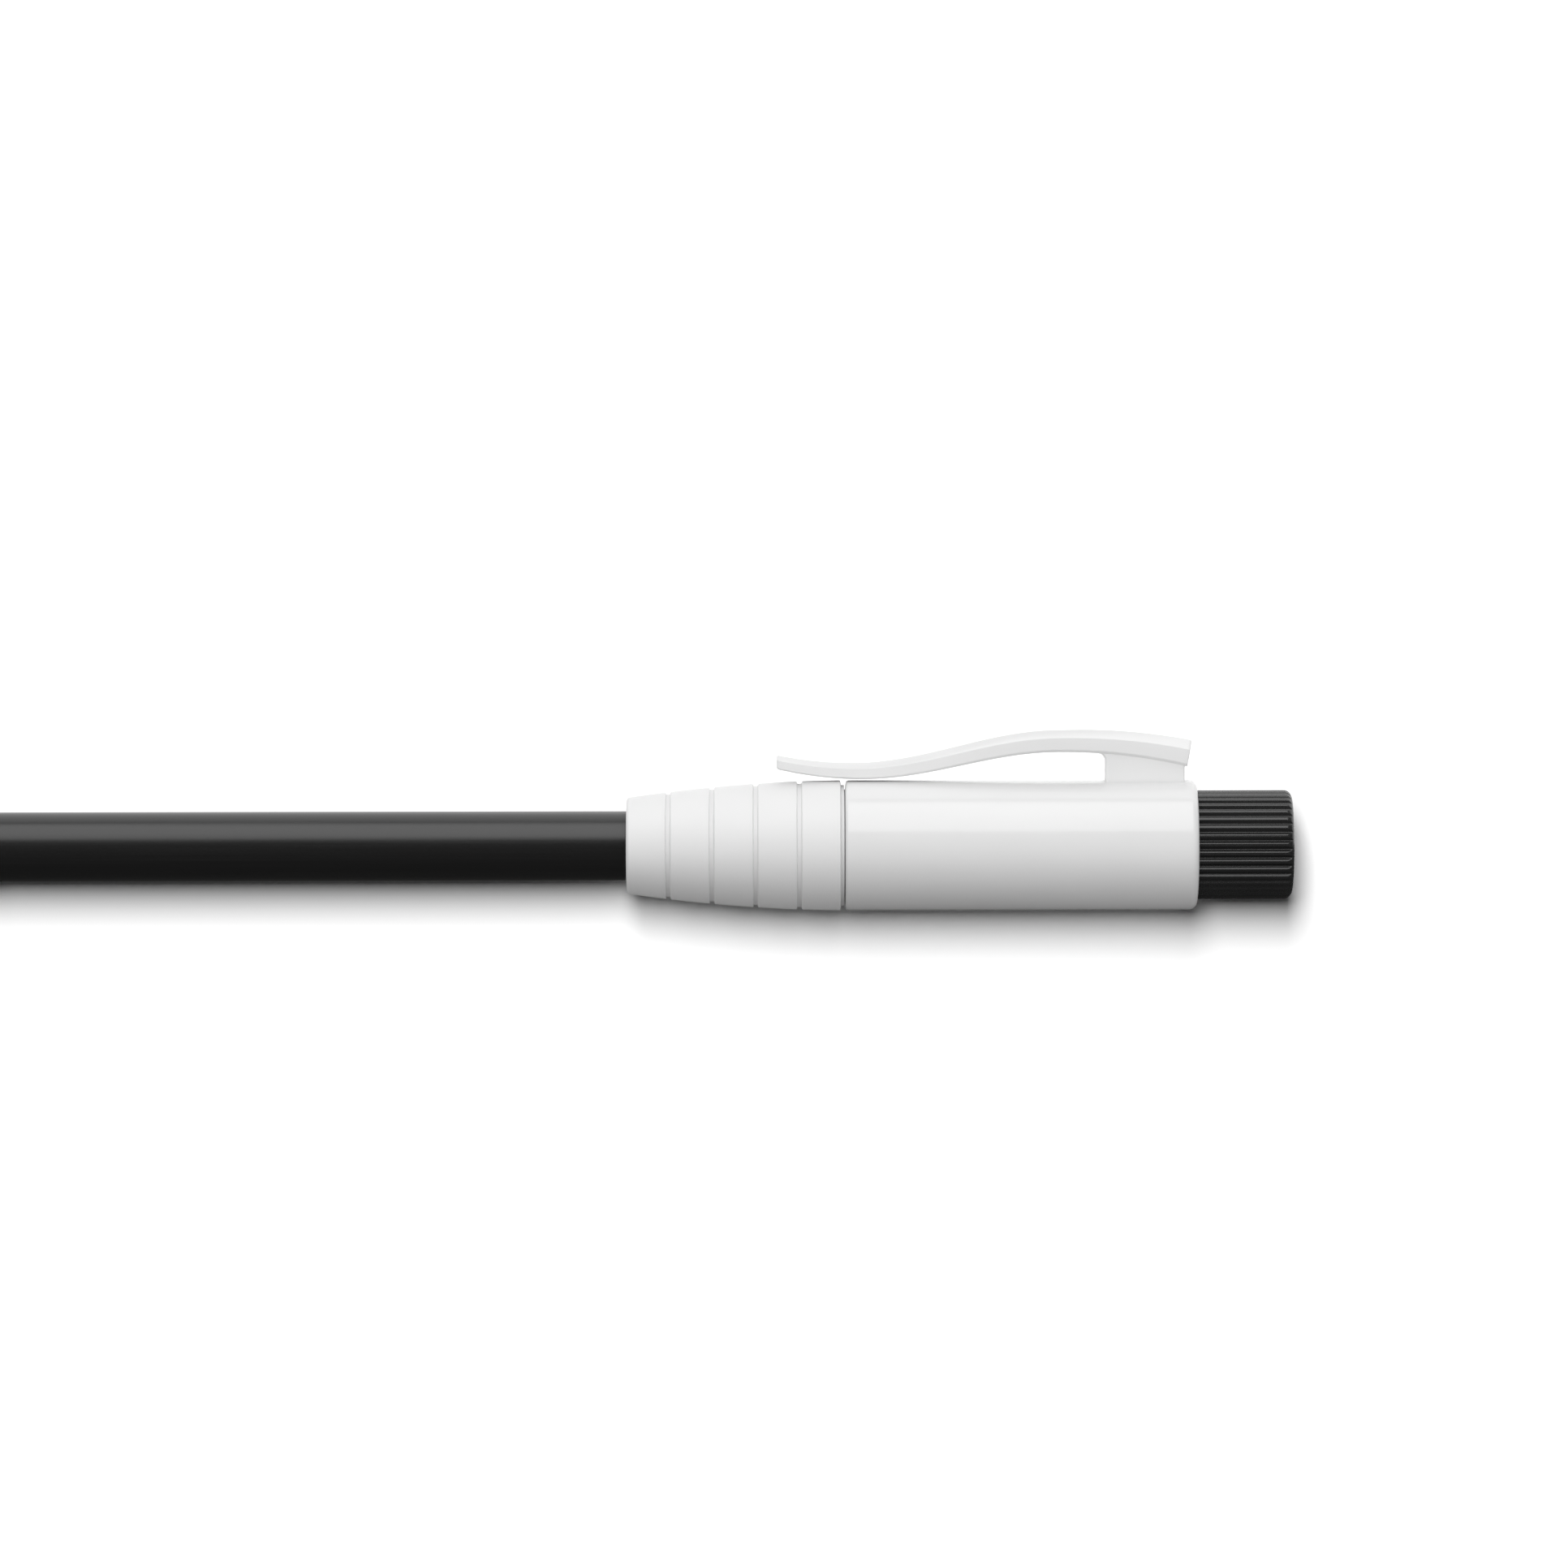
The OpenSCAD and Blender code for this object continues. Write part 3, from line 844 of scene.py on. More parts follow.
    def sleeve_mesh(self, finish: Material) -> Mesh:
        """Makes the ferrule from a plain tube, with rolled beads and punched dimples.

        Args:
            finish: Its material.

        Returns:
            The mesh of the ferrule.
        """
        start, end = self.sleeve.start, self.sleeve.end
        group_len = self.bead_count * self.bead_pitch
        recipe = Recipe(
            "rolled_beads",
            {
                "Sleeve radius": self.sleeve_r,
                "Bead pitch": self.bead_pitch,
                "Bead height": self.bead_h,
                "Group length": group_len,
                "Rear group": start + self.rear_band,
                "Front group": end - self.front_band - group_len,
                "Dimple radius": self.dimple_r,
                "Dimple depth": self.dimple_depth,
            },
            {"Dimples": self.dimple_count, "Dimple turn": math.radians(self.dimple_turn) / math.tau},
        )
        size, radius = recipe.size, recipe.radius()
        outside = radius.over(size("Sleeve radius") - SKIN * MM)
        pitch = size("Bead pitch")
        group = size("Group length")
        turn = recipe.angle() / math.tau - size("Dimple turn")
        share = (turn * size("Dimples") + 0.5).math("FRACT") - 0.5
        across = share / size("Dimples") * math.tau * size("Sleeve radius")
        change: Field | None = None
        for name, dimple_at in (("Rear group", pitch * 0.5), ("Front group", group * 0.5)):
            along = recipe.x - size(name)
            inside = along.over(0.0) * along.under(group)
            wave = (along / pitch * math.pi).math("SINE")
            bead = wave * wave * inside * size("Bead height")
            from_dimple = along - dimple_at
            distance = (from_dimple * from_dimple + across * across).math("SQRT")
            dent = (distance / size("Dimple radius")).flipped().clamped() ** 0.5
            step = bead - dent * size("Dimple depth")
            change = step if change is None else change + step
        recipe.move_radially(radius + change * outside)
        knee_back, knee_up = self.lip_knee
        profile = [
            (start, self.sleeve_bore_r),
            *[(x, self.sleeve_r) for x in spaced(start, end - self.lip_len, self.sleeve_ring)],
            (end - knee_back * self.lip_len, self.sleeve_r + knee_up * self.lip_h),
            (end, self.sleeve_r + self.lip_h),
            (end, self.sleeve_bore_r),
        ]
        blank = turned("ferrule_sleeve", profile, self.sleeve_segments, loop=True)
        return recipe.shape(blank, finish)

    def eraser_mesh(self) -> Mesh:
        """Makes the rubber, with a slightly crowned end and a plug inside the ferrule."""
        plug_r = self.sleeve_bore_r - self.bond_gap
        shoulder = self.sleeve.start - self.bond_gap
        start, end = self.rubber.start, self.rubber.end
        corner_x = start + self.eraser_round + self.eraser_crown
        corner_r = self.rubber.radius - self.eraser_round
        shares = spaced(0.0, 1.0, self.crown_step)
        crown = [(start + self.eraser_crown * share * share, corner_r * share) for share in shares]
        profile = [
            *crown[:-1],
            *arc(corner_x, corner_r, self.eraser_round, 180, 90, steps=12),
            (shoulder, self.rubber.radius),
            (shoulder, plug_r),
            (end, plug_r),
            (end, 0.0),
        ]
        return turned("eraser_rubber", profile)

    def build(self) -> list[Object]:
        """Makes and dresses every piece of the pencil."""
        wood = BARE_WOOD.make()
        sleeve = SLEEVE_PAINT.make()
        carried: tuple[tuple[str, str, str, Mesh, Material], ...] = (
            ("lacquer_skin", "lacquer_coat", "black_lacquer", self.lacquer_mesh(), SATIN_LACQUER.make()),
            ("lead_core", "graphite_lead", "graphite", self.lead_mesh(), CUT_GRAPHITE.make()),
            ("ferrule_sleeve", "ferrule", "black_metal", self.sleeve_mesh(sleeve), sleeve),
            ("eraser_rubber", "eraser", "black_rubber", self.eraser_mesh(), BLACK_RUBBER.make()),
            ("upper_wood", "upper_slat", "pencil_wood", self.slat_mesh(Half.UPPER), wood),
            ("lower_wood", "lower_slat", "pencil_wood", self.slat_mesh(Half.LOWER), wood),
        )
        return [
            Piece(name, Body.PENCIL, slot, (node,)).mount(mesh, finish)
            for name, node, slot, mesh, finish in carried
        ]


@dataclass
class Cap:
    """The cap: the ribbed nose that grips the pencil, the barrel and the pocket clip."""

    mouth_r: float = 5.05
    mouth_round: float = 0.45
    mouth_lead: float = 0.35
    nose_curve: float = 1.9
    band_count: int = 5
    band_round: float = 0.15
    groove_w: float = 0.43
    groove_depth: float = 0.25
    neck_depth: float = 0.5
    grip_gap: float = 0.06
    seat_gap: float = 0.1
    point_bore_r: float = 2.4
    bond_gap: float = 0.02
    seam_gap: float = 0.11
    seam_round: float = 0.35
    rim_round: float = 0.78
    barrel_wall: float = 0.95
    bore_lead: float = 0.12
    nose_ring: float = 0.045
    nose: Extent = field(default_factory=lambda: Extent.of("nose_grip"))
    barrel: Extent = field(default_factory=lambda: Extent.of("cap_barrel"))
    pencil: Pencil = field(default_factory=Pencil)

    @property
    def bore_r(self) -> float:
        """Radius of the barrel's bore."""
        return self.barrel.radius - self.barrel_wall

    def nose_mesh(self, finish: Material) -> Mesh:
        """Makes the nose from a plain blank, tapered and grooved into bands.

        Args:
            finish: Its material.

        Returns:
            The mesh of the nose.
        """
        seam, mouth = self.barrel.start, self.nose.start
        nose_len = seam - mouth
        recipe = Recipe(
            "banded_nose",
            {
                "Barrel radius": self.barrel.radius,
                "Mouth radius": self.mouth_r,
                "Mouth": mouth,
                "Length": nose_len,
                "Band pitch": nose_len / self.band_count,
                "Band round": self.band_round,
                "Groove width": self.groove_w,
                "Groove depth": self.groove_depth,
                "Neck depth": self.neck_depth,
            },
            {"Fullness": self.nose_curve},
        )
        size, radius = recipe.size, recipe.radius()
        outside = radius.over(size("Barrel radius") - SKIN * MM)
        along = recipe.x - size("Mouth")
        ahead = (along / size("Length")).flipped().clamped()
        slimming = size("Barrel radius") - size("Mouth radius")
        taper = slimming * ahead ** size("Fullness")
        pitch = size("Band pitch")
        from_start = (along / pitch).math("FRACT") * pitch
        to_end = pitch - size("Groove width") - from_start
        edge = (from_start.math("MINIMUM", to_end) / size("Band round")).clamped().flipped()
        drop = (edge * edge).flipped().math("SQRT").flipped()
        last = along.over(size("Length") - pitch * 0.5)
        deeper = (size("Neck depth") - size("Groove depth")) * last
        groove = drop * (size("Groove depth") + deeper)
        recipe.move_radially(radius - (taper + groove) * outside)
        return recipe.shape(self.nose_blank(), finish)

    def nose_blank(self) -> Mesh:
        """Makes the blank of the nose: its outside straight, its mouth, bore, seat and spigot finished."""
        mouth = self.nose.start
        grip_r = self.pencil.coat.radius + self.grip_gap
        full = mouth + self.mouth_round
        ahead = 1.0 - self.mouth_round / (self.barrel.start - mouth)
        full_r = self.barrel.radius - (self.barrel.radius - self.mouth_r) * ahead ** self.nose_curve
        spigot_r = self.bore_r - self.bond_gap
        shoulder = self.barrel.start - self.seam_gap
        outside = [(x, self.barrel.radius) for x in spaced(full, shoulder, self.nose_ring)]
        seat = [(self.on_seat(r), r) for r in (self.point_bore_r, grip_r)]
        profile = [
            (mouth, grip_r + self.mouth_lead),
            *arc(full, full_r - self.mouth_round, self.mouth_round, 180, 90, steps=12)[:-1],
            *outside,
            (shoulder, spigot_r),
            (self.nose.end, spigot_r),
            (self.nose.end, self.point_bore_r),
            *seat,
            (mouth + self.mouth_lead, grip_r),
        ]
        return turned("nose_shell", profile, loop=True)

    def on_seat(self, radius: float) -> float:
        """Gives the station at which the seat of the pencil's cone has a radius."""
        return self.pencil.on_cone(radius - self.seat_gap / math.cos(math.radians(self.pencil.point_angle)))

    def barrel_mesh(self) -> Mesh:
        """Makes the barrel as a tube with a rounded rim and eased edges."""
        start, end, radius = self.barrel.start, self.barrel.end, self.barrel.radius
        bore_r, lead = self.bore_r, self.bore_lead
        profile = [
            (start, bore_r + lead),
            *arc(start + self.seam_round, radius - self.seam_round, self.seam_round, 180, 90),
            *arc(end - self.rim_round, radius - self.rim_round, self.rim_round, 90, 0, steps=12),
            *arc(end - lead, bore_r + lead, lead, 0, -90, steps=4),
            (start + lead, bore_r),
        ]
        return turned("barrel_shell", profile, loop=True)

    def build(self) -> list[Object]:
        """Makes and dresses the nose, the barrel and the clip."""
        matt, gloss = MATT_ABS.make(), GLOSS_ABS.make()
        nose = Piece("nose_shell", Body.CAP, "white_matt_plastic", ("nose_grip",))
        barrel = Piece("barrel_shell", Body.CAP, "white_gloss_plastic", ("cap_barrel",))
        return [
            nose.mount(self.nose_mesh(matt), matt),
            barrel.mount(self.barrel_mesh(), gloss),
            Clip(barrel=self.barrel).build(gloss),
        ]


@dataclass
class Clip:
    """The pocket clip: a bevelled arm that sweeps down to the barrel, and the post that carries it."""

    barrel: Extent
    post_w: float = 3.8
    post_len: float = 8.4
    post_fillet: float = 0.7
    post_edge: float = 0.22
    post_sink: float = 0.6
    foot_sink: float = 0.35
    arm_w: float = 4.2
    arm_tip_w: float = 3.36
    arm_room: float = 2.9
    arm_t: float = 2.35
    tip_t: float = 1.5
    tip_rise: float = 1.17
    tip_round: float = 0.25
    contact_gap: float = 0.1
    contact_swell: float = 0.25
    end_swell: float = 0.45
    end_round: float = 0.16
    end_slant: float = 9.5
    rear_drop: float = 1.55
    overhang: float = 0.75
    tip_len: float = 9.0
    crest_ahead: float = 4.6
    bend_start: float = 0.7
    bend_end: float = 3.3
    foot_bevel: float = 0.1
    top_bevel: Point = (0.38, 0.37)
    bar_round: float = 0.07
    step: float = 0.4
    arm: Extent = field(default_factory=lambda: Extent.of("clip_arm"))
    post: Extent = field(default_factory=lambda: Extent.of("clip_post"))

    @property
    def tip(self) -> float:
        """Station of the arm's tip."""
        return self.arm.start

    @property
    def end(self) -> float:
        """Station of the arm's rear end."""
        return self.post.end

    @property
    def post_front(self) -> float:
        """Station of the post's front face."""
        return self.end - self.overhang - self.post_len

    @property
    def crest(self) -> float:
        """Station of the arm's highest stretch."""
        return self.post_front - self.crest_ahead

    def bar(self) -> Mesh:
        """Makes a straight bar along the arm, whose section is one millimetre high and two wide."""
        foot, (bevel_z, bevel_y) = self.foot_bevel, self.top_bevel
        right = [(1 - foot, 0.0), (1.0, foot), (1.0, 1 - bevel_y), (1 - bevel_z, 1.0)]
        section = rounded([*right, *[(-z, y) for z, y in reversed(right)]], self.bar_round)
        full, last = self.tip + self.tip_round, self.end - self.end_round
        turns = [math.radians(a) for a in range(0, 90, 15)]
        stations = [
            *[full - self.tip_round * math.cos(a) for a in turns],
            *spaced(full, last, self.step),
            *[last + self.end_round * math.cos(a) for a in reversed(turns)],
        ]
        return skin("arm_bar", [[Vector((x, y, z)) for z, y in section] for x in stations])

    def recipe(self) -> Recipe:
        """Makes the tree that sweeps the bar along the line of the arm."""
        recipe = Recipe(
            "swept_arm",
            {
                "Barrel radius": self.barrel.radius,
                "Tip": self.tip,
                "Contact": self.tip + self.tip_len,
                "Crest": self.crest,
                "Post": self.post_front,
                "End": self.end,
                "Tip rise": self.tip_rise - self.contact_gap,
                "Contact gap": self.contact_gap,
                "Room": self.arm_room - self.contact_gap,
                "Rear drop": self.rear_drop,
                "Tip thickness": self.tip_t,
                "Contact swell": self.contact_swell,
                "Crest swell": self.arm_t - self.tip_t - self.contact_swell,
                "End swell": self.end_swell,
                "Tip width": self.arm_tip_w,
                "Width": self.arm_w,
                "Tip round": self.tip_round,
                "End round": self.end_round,
            },
            {"End slant": math.tan(math.radians(self.end_slant))},
        )
        size, x = recipe.size, recipe.x
        to_tip = ((size("Contact") - x) / (size("Contact") - size("Tip"))).clamped()
        to_crest = ((x - size("Contact")) / (size("Crest") - size("Contact"))).clamped()
        to_end = ((x - size("Crest")) / (size("End") - size("Crest"))).clamped()
        rise = (to_crest * math.pi).math("COSINE").flipped() * 0.5
        gap = size("Contact gap") + size("Tip rise") * to_tip * to_tip
        gap = gap + size("Room") * rise - size("Rear drop") * to_end * to_end
        thick = size("Tip thickness") + size("Contact swell") * to_tip.flipped()
        thick = thick + size("Crest swell") * (to_crest * (math.pi / 2)).math("SINE")
        thick = thick + size("End swell") * to_end
        along = ((x - size("Tip")) / (size("Post") - size("Tip"))).clamped()
        half = (size("Tip width") + (size("Width") - size("Tip width")) * along) * 0.5
        inset = self.inset(x - size("Tip"), size("Tip round"))
        inset = inset + self.inset(size("End") - x, size("End round"))
        up, across = recipe.y / MM, recipe.z / MM
        y = size("Barrel radius") + gap + inset + up * (thick - inset * 2.0)
        lean = ((x - size("Post")) / (size("End") - size("Post"))).clamped()
        slanted = x - up.flipped() * thick * size("End slant") * lean
        recipe.move_to(slanted, y, across * (half - inset))
        return recipe

    def inset(self, distance: Field, radius: Field) -> Field:
        """Gives how far an end, rounded by a radius, draws the section in at a distance from it."""
        left = (distance / radius).clamped().flipped()
        return (left * left).flipped().math("SQRT").flipped() * radius

    def post_mesh(self) -> Mesh:
        """Makes the post as a plate with rounded edges, filleted into the arm ahead of it."""
        front, rear, fillet = self.post_front, self.end - self.overhang, self.post_fillet
        foot = self.barrel.radius - self.foot_sink
        top = self.barrel.radius + self.arm_room + self.post_sink
        turn = (front - self.crest - fillet) / (self.end - self.crest)
        under = self.barrel.radius + self.arm_room - self.rear_drop * turn * turn

        def outline(inset: float, z: float) -> list[Vector]:
            """Gives the outline of the post, drawn in by an inset, at a height."""
            curve = arc(front - fillet, under - fillet, fillet + inset, 90, 0)
            points = [(rear - inset, foot), (rear - inset, top), (front - fillet, top), *curve]
            return [Vector((x, y, z)) for x, y in [*points, (front + inset, foot)]]

        turns = [math.radians(a) for a in range(0, 91, 30)]
        edge, half = self.post_edge, self.post_w / 2
        upper = [(edge * (1 - math.cos(a)), half - edge + edge * math.sin(a)) for a in turns]
        rows = [outline(inset, -z) for inset, z in reversed(upper)]
        rows += [outline(inset, z) for inset, z in upper]
        return skin("clip_post_plate", rows)

    def build(self, finish: Material) -> Object:
        """Makes the clip as one moulding of its arm and post.

        Args:
            finish: Its material.

        Returns:
            The clip, with its shape baked in place and riding on no body.
        """
        shape = bmesh.new()
        for mesh in (self.recipe().shape(self.bar(), finish), self.post_mesh()):
            shape.from_mesh(mesh)
        whole = bpy.data.meshes.new("pocket_clip")
        shape.to_mesh(whole)
        shape.free()
        piece = Piece("pocket_clip", Body.CLIP, "white_gloss_plastic", ("clip_arm", "clip_post"))
        clip = piece.make(smooth(whole), finish)
        start = Vector((self.post_front - self.bend_start, 0.0, 0.0)) * MM
        end = Vector((self.post_front - self.bend_end, 0.0, 0.0)) * MM
        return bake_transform(clip)


@dataclass
class Sharpener:
    """The sharpener: a core with a conical hole, a blade held by a screw, and the fluted knob."""

    knob_round: float = 0.85
    knob_floor: float = 1.4
    knob_ring: float = 1.0
    flat_ring: float = 0.085
    tail_r: float = 4.0
    bond_gap: float = 0.02
    flute_count: int = 38
    flute_depth: float = 0.33
    flute_half: float = 0.38
    flute_points: int = 20
    core_edge: float = 0.1
    steel_edge: float = 0.05
    edge_steps: int = 2
    knob: Extent = field(default_factory=lambda: Extent.of("knob"))

    def knob_mesh(self, finish: Material) -> Mesh:
        """Makes the knob from a plain turned blank, with flutes cut along it.

        Args:
            finish: Its material.

        Returns:
            The mesh of the knob.
        """
        lengths = {
            "Radius": self.knob.radius,
            "Flute depth": self.flute_depth,
            "Flute half width": self.flute_half,
        }
        recipe = Recipe("cut_flutes", lengths, {"Flutes": self.flute_count})
        size = recipe.size
        pitch = size("Radius") * math.tau / size("Flutes")
        share = (recipe.angle() / math.tau * size("Flutes")).math("FRACT") - 0.5
        across = (share.math("ABSOLUTE") * pitch / size("Flute half width")).clamped()
        depth = ((across * math.pi).math("COSINE") + 1.0) * 0.5 * size("Flute depth")
        recipe.move_radially(recipe.radius().math("MINIMUM", size("Radius") - depth))
        start, end, radius, corner = self.knob.start, self.knob.end, self.knob.radius, self.knob_round
        socket_r = self.tail_r + self.bond_gap
        profile = [
            (end - self.knob_floor, 0.0),
            (end - self.knob_floor, socket_r),
            (start, socket_r),
            *[(x, radius) for x in spaced(start, end - corner, self.knob_ring)],
            *arc(end - corner, radius - corner, corner, 90, 0, steps=14)[1:],
            # A ring close inside the round edge keeps the end flat in its shading.
            (end, radius - corner - self.flat_ring),
            (end, 0.0),
        ]
        return recipe.shape(turned("fluted_knob", profile, self.flute_points * self.flute_count), finish)

    def eased(self, shown: Object, width: float) -> Object:
        """Eases the edges of a piece with a narrow bevel.

        Args:
            shown: Object of the piece.
            width: Width of the bevel.

        Returns:
            The same object.
        """
        bevel = shown.modifiers.new("eased_edges", "BEVEL")
        bevel.width = width * MM
        bevel.segments = self.edge_steps
        bevel.limit_method = "ANGLE"
        bevel.angle_limit = SHARP_ANGLE
        bevel.harden_normals = True
        return shown

    def build(self) -> list[Object]:
        """Makes and dresses every piece of the sharpener."""
        satin = KNOB_ABS.make()
        knob = Piece("fluted_knob", Body.SHARPENER, "black_plastic", ("knob",))
        pieces = [knob.mount(self.knob_mesh(satin), satin)]
        carried: tuple[tuple[str, str, str, Finish, float], ...] = (
            ("sharpener_core", "sharpener_body", "black_plastic", CORE_PLASTIC, self.core_edge),
            ("cutting_blade", "blade", "steel", GROUND_STEEL, self.steel_edge),
            ("blade_fixing", "blade_screw", "steel", PLATED_STEEL, self.steel_edge),
        )
        for name, node, slot, finish, edge in carried:
            piece = Piece(name, Body.SHARPENER, slot, (node,))
            pieces.append(self.eased(piece.mount(merged_copy(node), finish.make()), edge))
        return pieces


# At rest, the main view does not show these.
HIDDEN_PIECES = ("ferrule_sleeve", "sharpener_core", "cutting_blade", "blade_fixing")


class Receivers(Enum):
    """What a light falls on."""

    FLOOR_ONLY = "the floor"
    OUTER_ONLY = "the floor far from the object"
    OBJECT_ONLY = "all but the floor"
    HIDDEN_ONLY = "the pieces that the camera does not see at rest"


@dataclass(frozen=True)
class Panel:
    """A soft light panel along X, by the angles from overhead towards +Y that it spans."""

    name: str
    first: float
    last: float
    radiance: float
    receivers: Receivers
    mirrored: bool = True
    distance: float = 900.0
    length: float = 8000.0
    shift: float = 0.0
    through_clip: bool = False

    def hang(self, centre: Vector, floor: Sequence[Object], pieces: Mapping[str, Object]) -> None:
        """Hangs the panel so that it faces a point.

        Args:
            centre: Point that the panel faces, in metres.
            floor: Sheets of the floor.
            pieces: Pieces of the object by name.
        """
        tilt = math.radians(self.first + self.last) / 2
        spread = math.radians(self.last - self.first) / 2
        panel = bpy.data.lights.new(self.name, "AREA")
        panel.shape = "RECTANGLE"
        panel.size = self.length * MM
        panel.size_y = 2 * self.distance * math.tan(spread) * MM
        panel.energy = self.radiance * math.pi * panel.size * panel.size_y
        lamp = bpy.data.objects.new(self.name, panel)
        away = Vector((0.0, math.sin(tilt), math.cos(tilt))) * self.distance
        lamp.location = centre + (away + Vector((self.shift, 0.0, 0.0))) * MM
        lamp.rotation_euler = (-tilt, 0.0, 0.0)
        lamp.visible_camera = False
        lamp.visible_glossy = self.mirrored
        bpy.context.scene.collection.objects.link(lamp)
        outer = [sheet for sheet in floor if sheet.name.startswith("outer")]
        reached, state = {
            Receivers.FLOOR_ONLY: (floor, "INCLUDE"),
            Receivers.OUTER_ONLY: (outer, "INCLUDE"),
            Receivers.OBJECT_ONLY: (floor, "EXCLUDE"),
            Receivers.HIDDEN_ONLY: ([pieces[name] for name in HIDDEN_PIECES], "INCLUDE"),
        }[self.receivers]
        lamp.light_linking.receiver_collection = self.links("reach", reached, state)
        if self.through_clip:
            lamp.light_linking.blocker_collection = self.links("pass", [pieces["pocket_clip"]], "EXCLUDE")

    def links(self, use: str, objects: Sequence[Object], state: str) -> Collection:
        """Gathers the objects that the light or its shadow is linked to.

        Args:
            use: What the collection is for.
            objects: Its objects.
            state: Whether the light includes or excludes them.

        Returns:
            The collection.
        """
        group = bpy.data.collections.new(f"{self.name}_{use}")
        for i, item in enumerate(objects):
            group.objects.link(item)
            group.collection_objects[i].light_linking.link_state = state
        return group


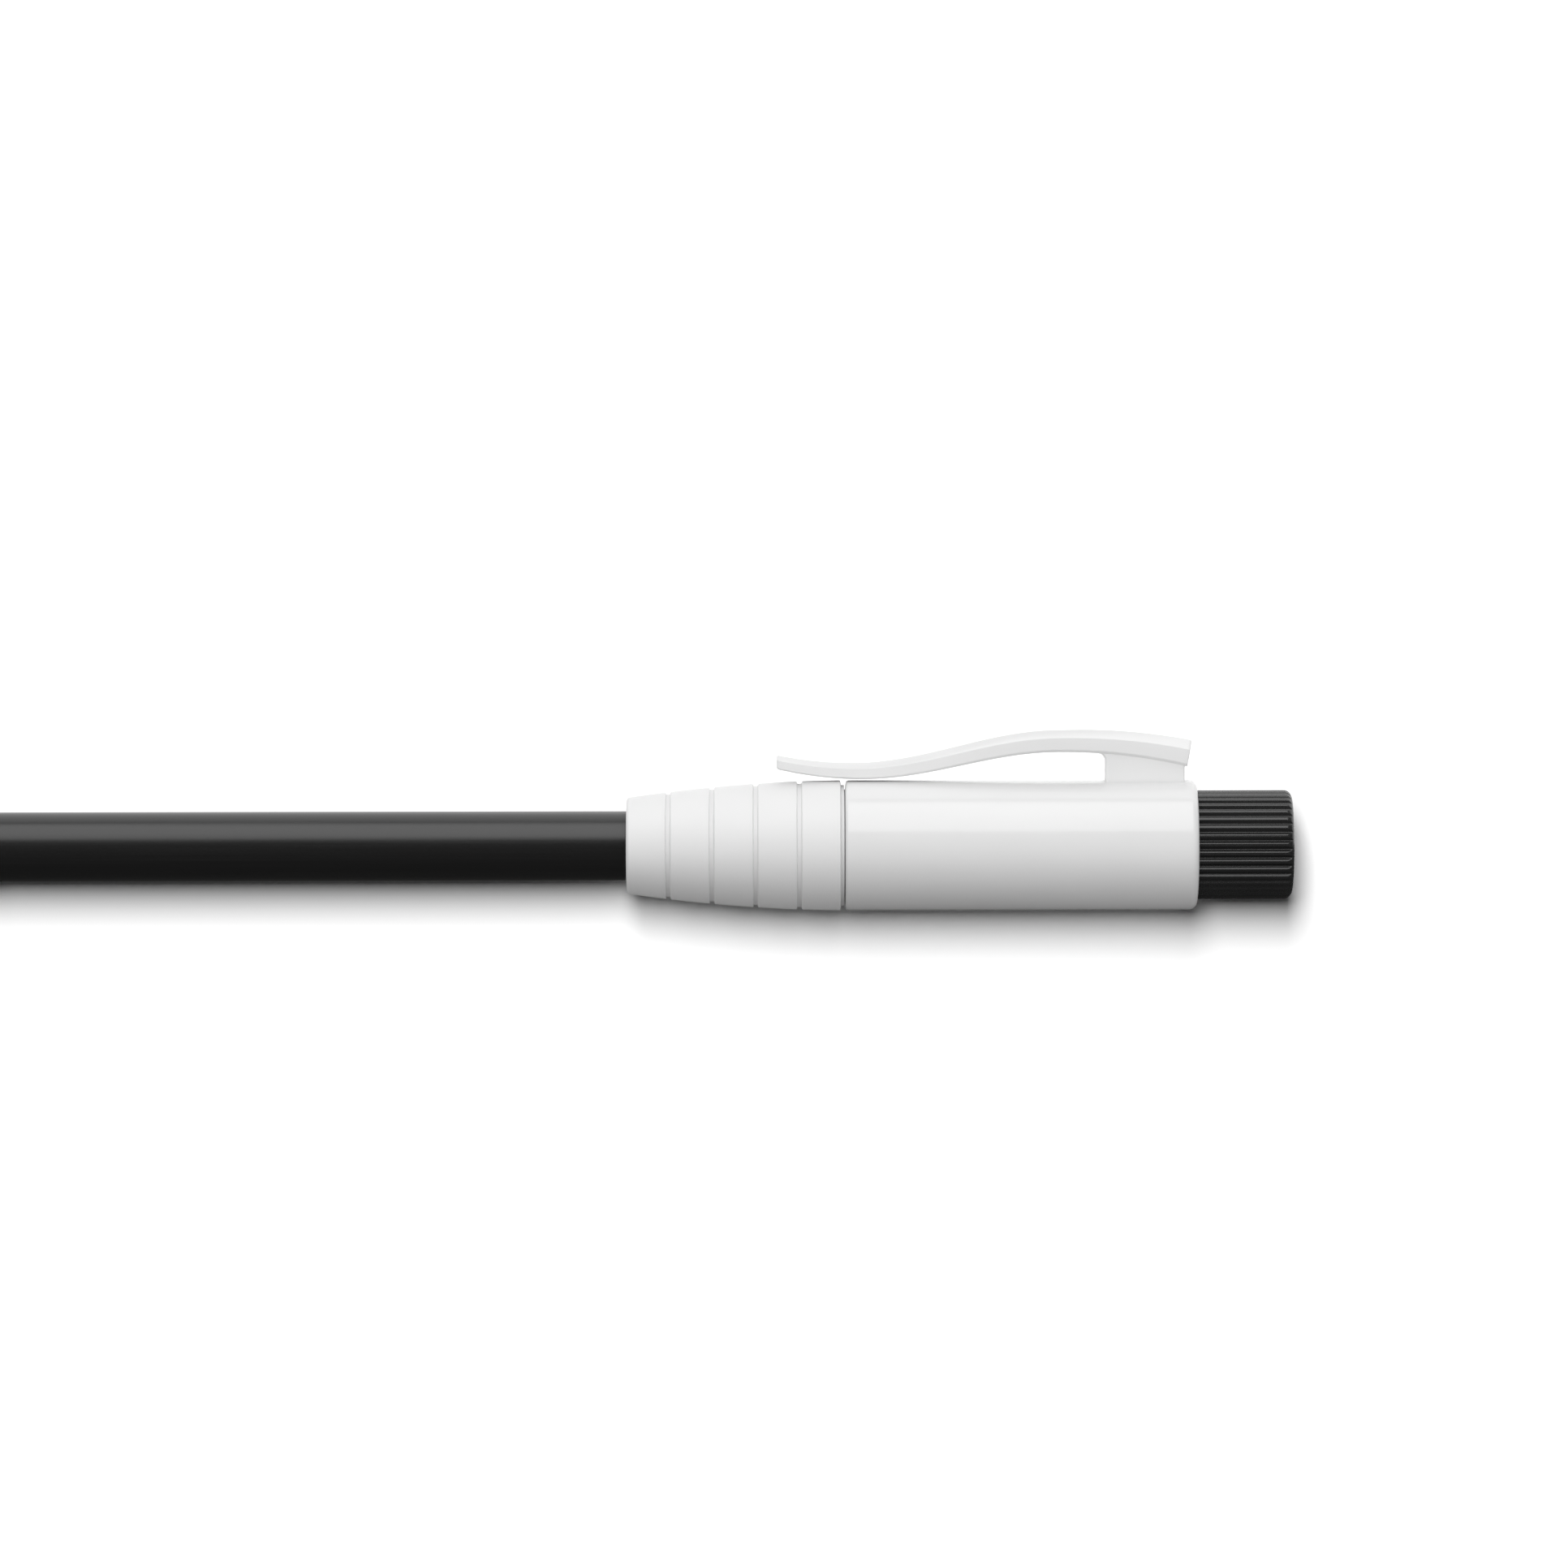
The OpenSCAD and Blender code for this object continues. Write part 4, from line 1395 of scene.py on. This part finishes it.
@dataclass
class Studio:
    """The pale floor that the capped pencil lies on, soft light from one side, and the camera above it."""

    image_px: float = 1932.0
    px_per_mm: float = 11.7
    knob_end_px: float = 1591.0
    axis_px: float = 1041.6
    roll: float = -0.118
    camera_height: float = 800.0
    sensor: float = 36.0
    floor_size: float = 4000.0
    inner_span: tuple[float, float] = (-230.0, 82.0)
    lit_reach: float = 400.0
    bounce_reach: float = 20.0
    shaded_reach: float = 70.0
    clearance: float = 0.02
    floor_colour: str = "#F6F6F6"
    floor_roughness: float = 0.95
    floor_gloss: float = 0.1
    room_light: float = 0.05
    panels: tuple[Panel, ...] = (
        # The key light stands on the clip's side. The black lacquer mirrors its middle, so that the flanks
        # of beads and grooves stay dark, and its polarised wings only even out the light on the white cap.
        Panel("key_panel", 24.0, 82.0, 2.2, Receivers.OBJECT_ONLY, length=800.0),
        Panel("left_wing", 24.0, 82.0, 1.0, Receivers.OBJECT_ONLY, False, length=3600.0, shift=-2200.0),
        Panel("right_wing", 24.0, 82.0, 1.0, Receivers.OBJECT_ONLY, False, length=3600.0, shift=2200.0),
        # The fill light lifts the shaded side, and is polarised so that no surface mirrors it.
        Panel("fill_panel", -36.0, 20.0, 1.36, Receivers.OBJECT_ONLY, mirrored=False),
        # The floor has a light of its own that burns it out to white, up to a close soft shadow.
        Panel(
            "floor_panel",
            2.0,
            36.5,
            25.4,
            Receivers.FLOOR_ONLY,
            length=256.0,
            shift=-76.0,
            through_clip=True,
        ),
        # A wide light keeps the floor white far from the object.
        Panel("outer_panel", -60.0, 60.0, 3.0, Receivers.OUTER_ONLY, mirrored=False),
        # The ferrule and the bare steel of the sharpener have a pale card to mirror on the shaded side.
        Panel("pale_card", -100.0, -20.0, 0.9, Receivers.HIDDEN_ONLY),
    )

    def centre(self) -> Vector:
        """Gives the point of the object's axis plane in the middle of the picture, in metres."""
        middle = self.image_px / 2
        return Vector((middle - self.knob_end_px, self.axis_px - middle, 0.0)) / self.px_per_mm * MM

    def camera(self) -> None:
        """Places the camera straight above the object, as the photograph was taken."""
        lens = bpy.data.cameras.new("overhead_camera")
        lens.sensor_width = self.sensor
        lens.lens = self.sensor * self.camera_height * self.px_per_mm / self.image_px
        camera = bpy.data.objects.new("overhead_camera", lens)
        camera.location = self.centre() + Vector((0.0, 0.0, self.camera_height * MM))
        camera.rotation_euler = (0.0, 0.0, math.radians(self.roll))
        bpy.context.scene.collection.objects.link(camera)
        bpy.context.scene.camera = camera

    def floor(self) -> list[Object]:
        """Lays the floor under the object as sheets that meet edge to edge.

        Returns:
            The lit sheet on the clip's side, the sheet close to the object on its shaded side, the sheet
            beyond that one, and the outer sheets round these three.
        """
        height = CAD_BOX[0][2] - self.clearance * MM
        left, right = self.inner_span
        far, lit, close, shaded = self.floor_size / 2, self.lit_reach, self.bounce_reach, self.shaded_reach
        finish = self.floor_finish()
        sheets: list[Object] = []
        for name, first, last, low, high in (
            ("lit_floor", left, right, 0.0, lit),
            ("close_floor", left, right, -close, 0.0),
            ("shaded_floor", left, right, -shaded, -close),
            ("outer_floor_left", -far, left, -far, far),
            ("outer_floor_right", right, far, -far, far),
            ("outer_floor_front", left, right, lit, far),
            ("outer_floor_back", left, right, -far, -shaded),
        ):
            corners = ((first, low), (last, low), (last, high), (first, high))
            mesh = bpy.data.meshes.new(name)
            mesh.from_pydata([(x * MM, y * MM, height) for x, y in corners], [], [range(len(corners))])
            mesh.materials.append(finish)
            sheet = bpy.data.objects.new(name, mesh)
            bpy.context.scene.collection.objects.link(sheet)
            # The black pieces mirror the lit sheet alone, and only the sheets next to the object throw
            # light back on it, as if a dark card stood on the shaded side.
            sheet.visible_glossy = name == "lit_floor"
            sheet.visible_diffuse = name in ("lit_floor", "close_floor")
            sheets.append(sheet)
        return sheets

    def floor_finish(self) -> Material:
        """Makes the matt white paper of the floor."""
        material = bpy.data.materials.new("matt_white_paper")
        material.use_nodes = True
        shader = material.node_tree.nodes["Principled BSDF"]
        shader.inputs["Base Color"].default_value = linear(self.floor_colour)
        shader.inputs["Roughness"].default_value = self.floor_roughness
        shader.inputs["Specular IOR Level"].default_value = self.floor_gloss
        return material

    def room(self) -> None:
        """Gives the room its dim even light."""
        room = bpy.data.worlds.new("dim_room")
        room.use_nodes = True
        sky = room.node_tree.nodes["Background"]
        sky.inputs["Color"].default_value = (1.0, 1.0, 1.0, 1.0)
        sky.inputs["Strength"].default_value = self.room_light
        bpy.context.scene.world = room

    def build(self, pieces: Mapping[str, Object]) -> None:
        """Sets up the floor, the lights and the camera.

        Args:
            pieces: Pieces of the object by name.
        """
        floor = self.floor()
        for panel in self.panels:
            panel.hang(self.centre(), floor, pieces)
        self.room()
        self.camera()
        bpy.context.scene.view_settings.view_transform = "Standard"


def main() -> None:
    """Builds the sub-assemblies in order, reports their pieces and sets up the studio."""
    logging.basicConfig(level=logging.INFO, format="%(message)s")
    pieces: dict[str, Object] = {}
    for assembly in (Pencil(), Cap(), Sharpener()):
        for piece in assembly.build():
            LOG.info("%s: %s, %d faces", type(assembly).__name__, piece.name, len(piece.data.polygons))
            pieces[piece.name] = piece
    Studio().build(pieces)


if __name__ == "__main__":
    main()
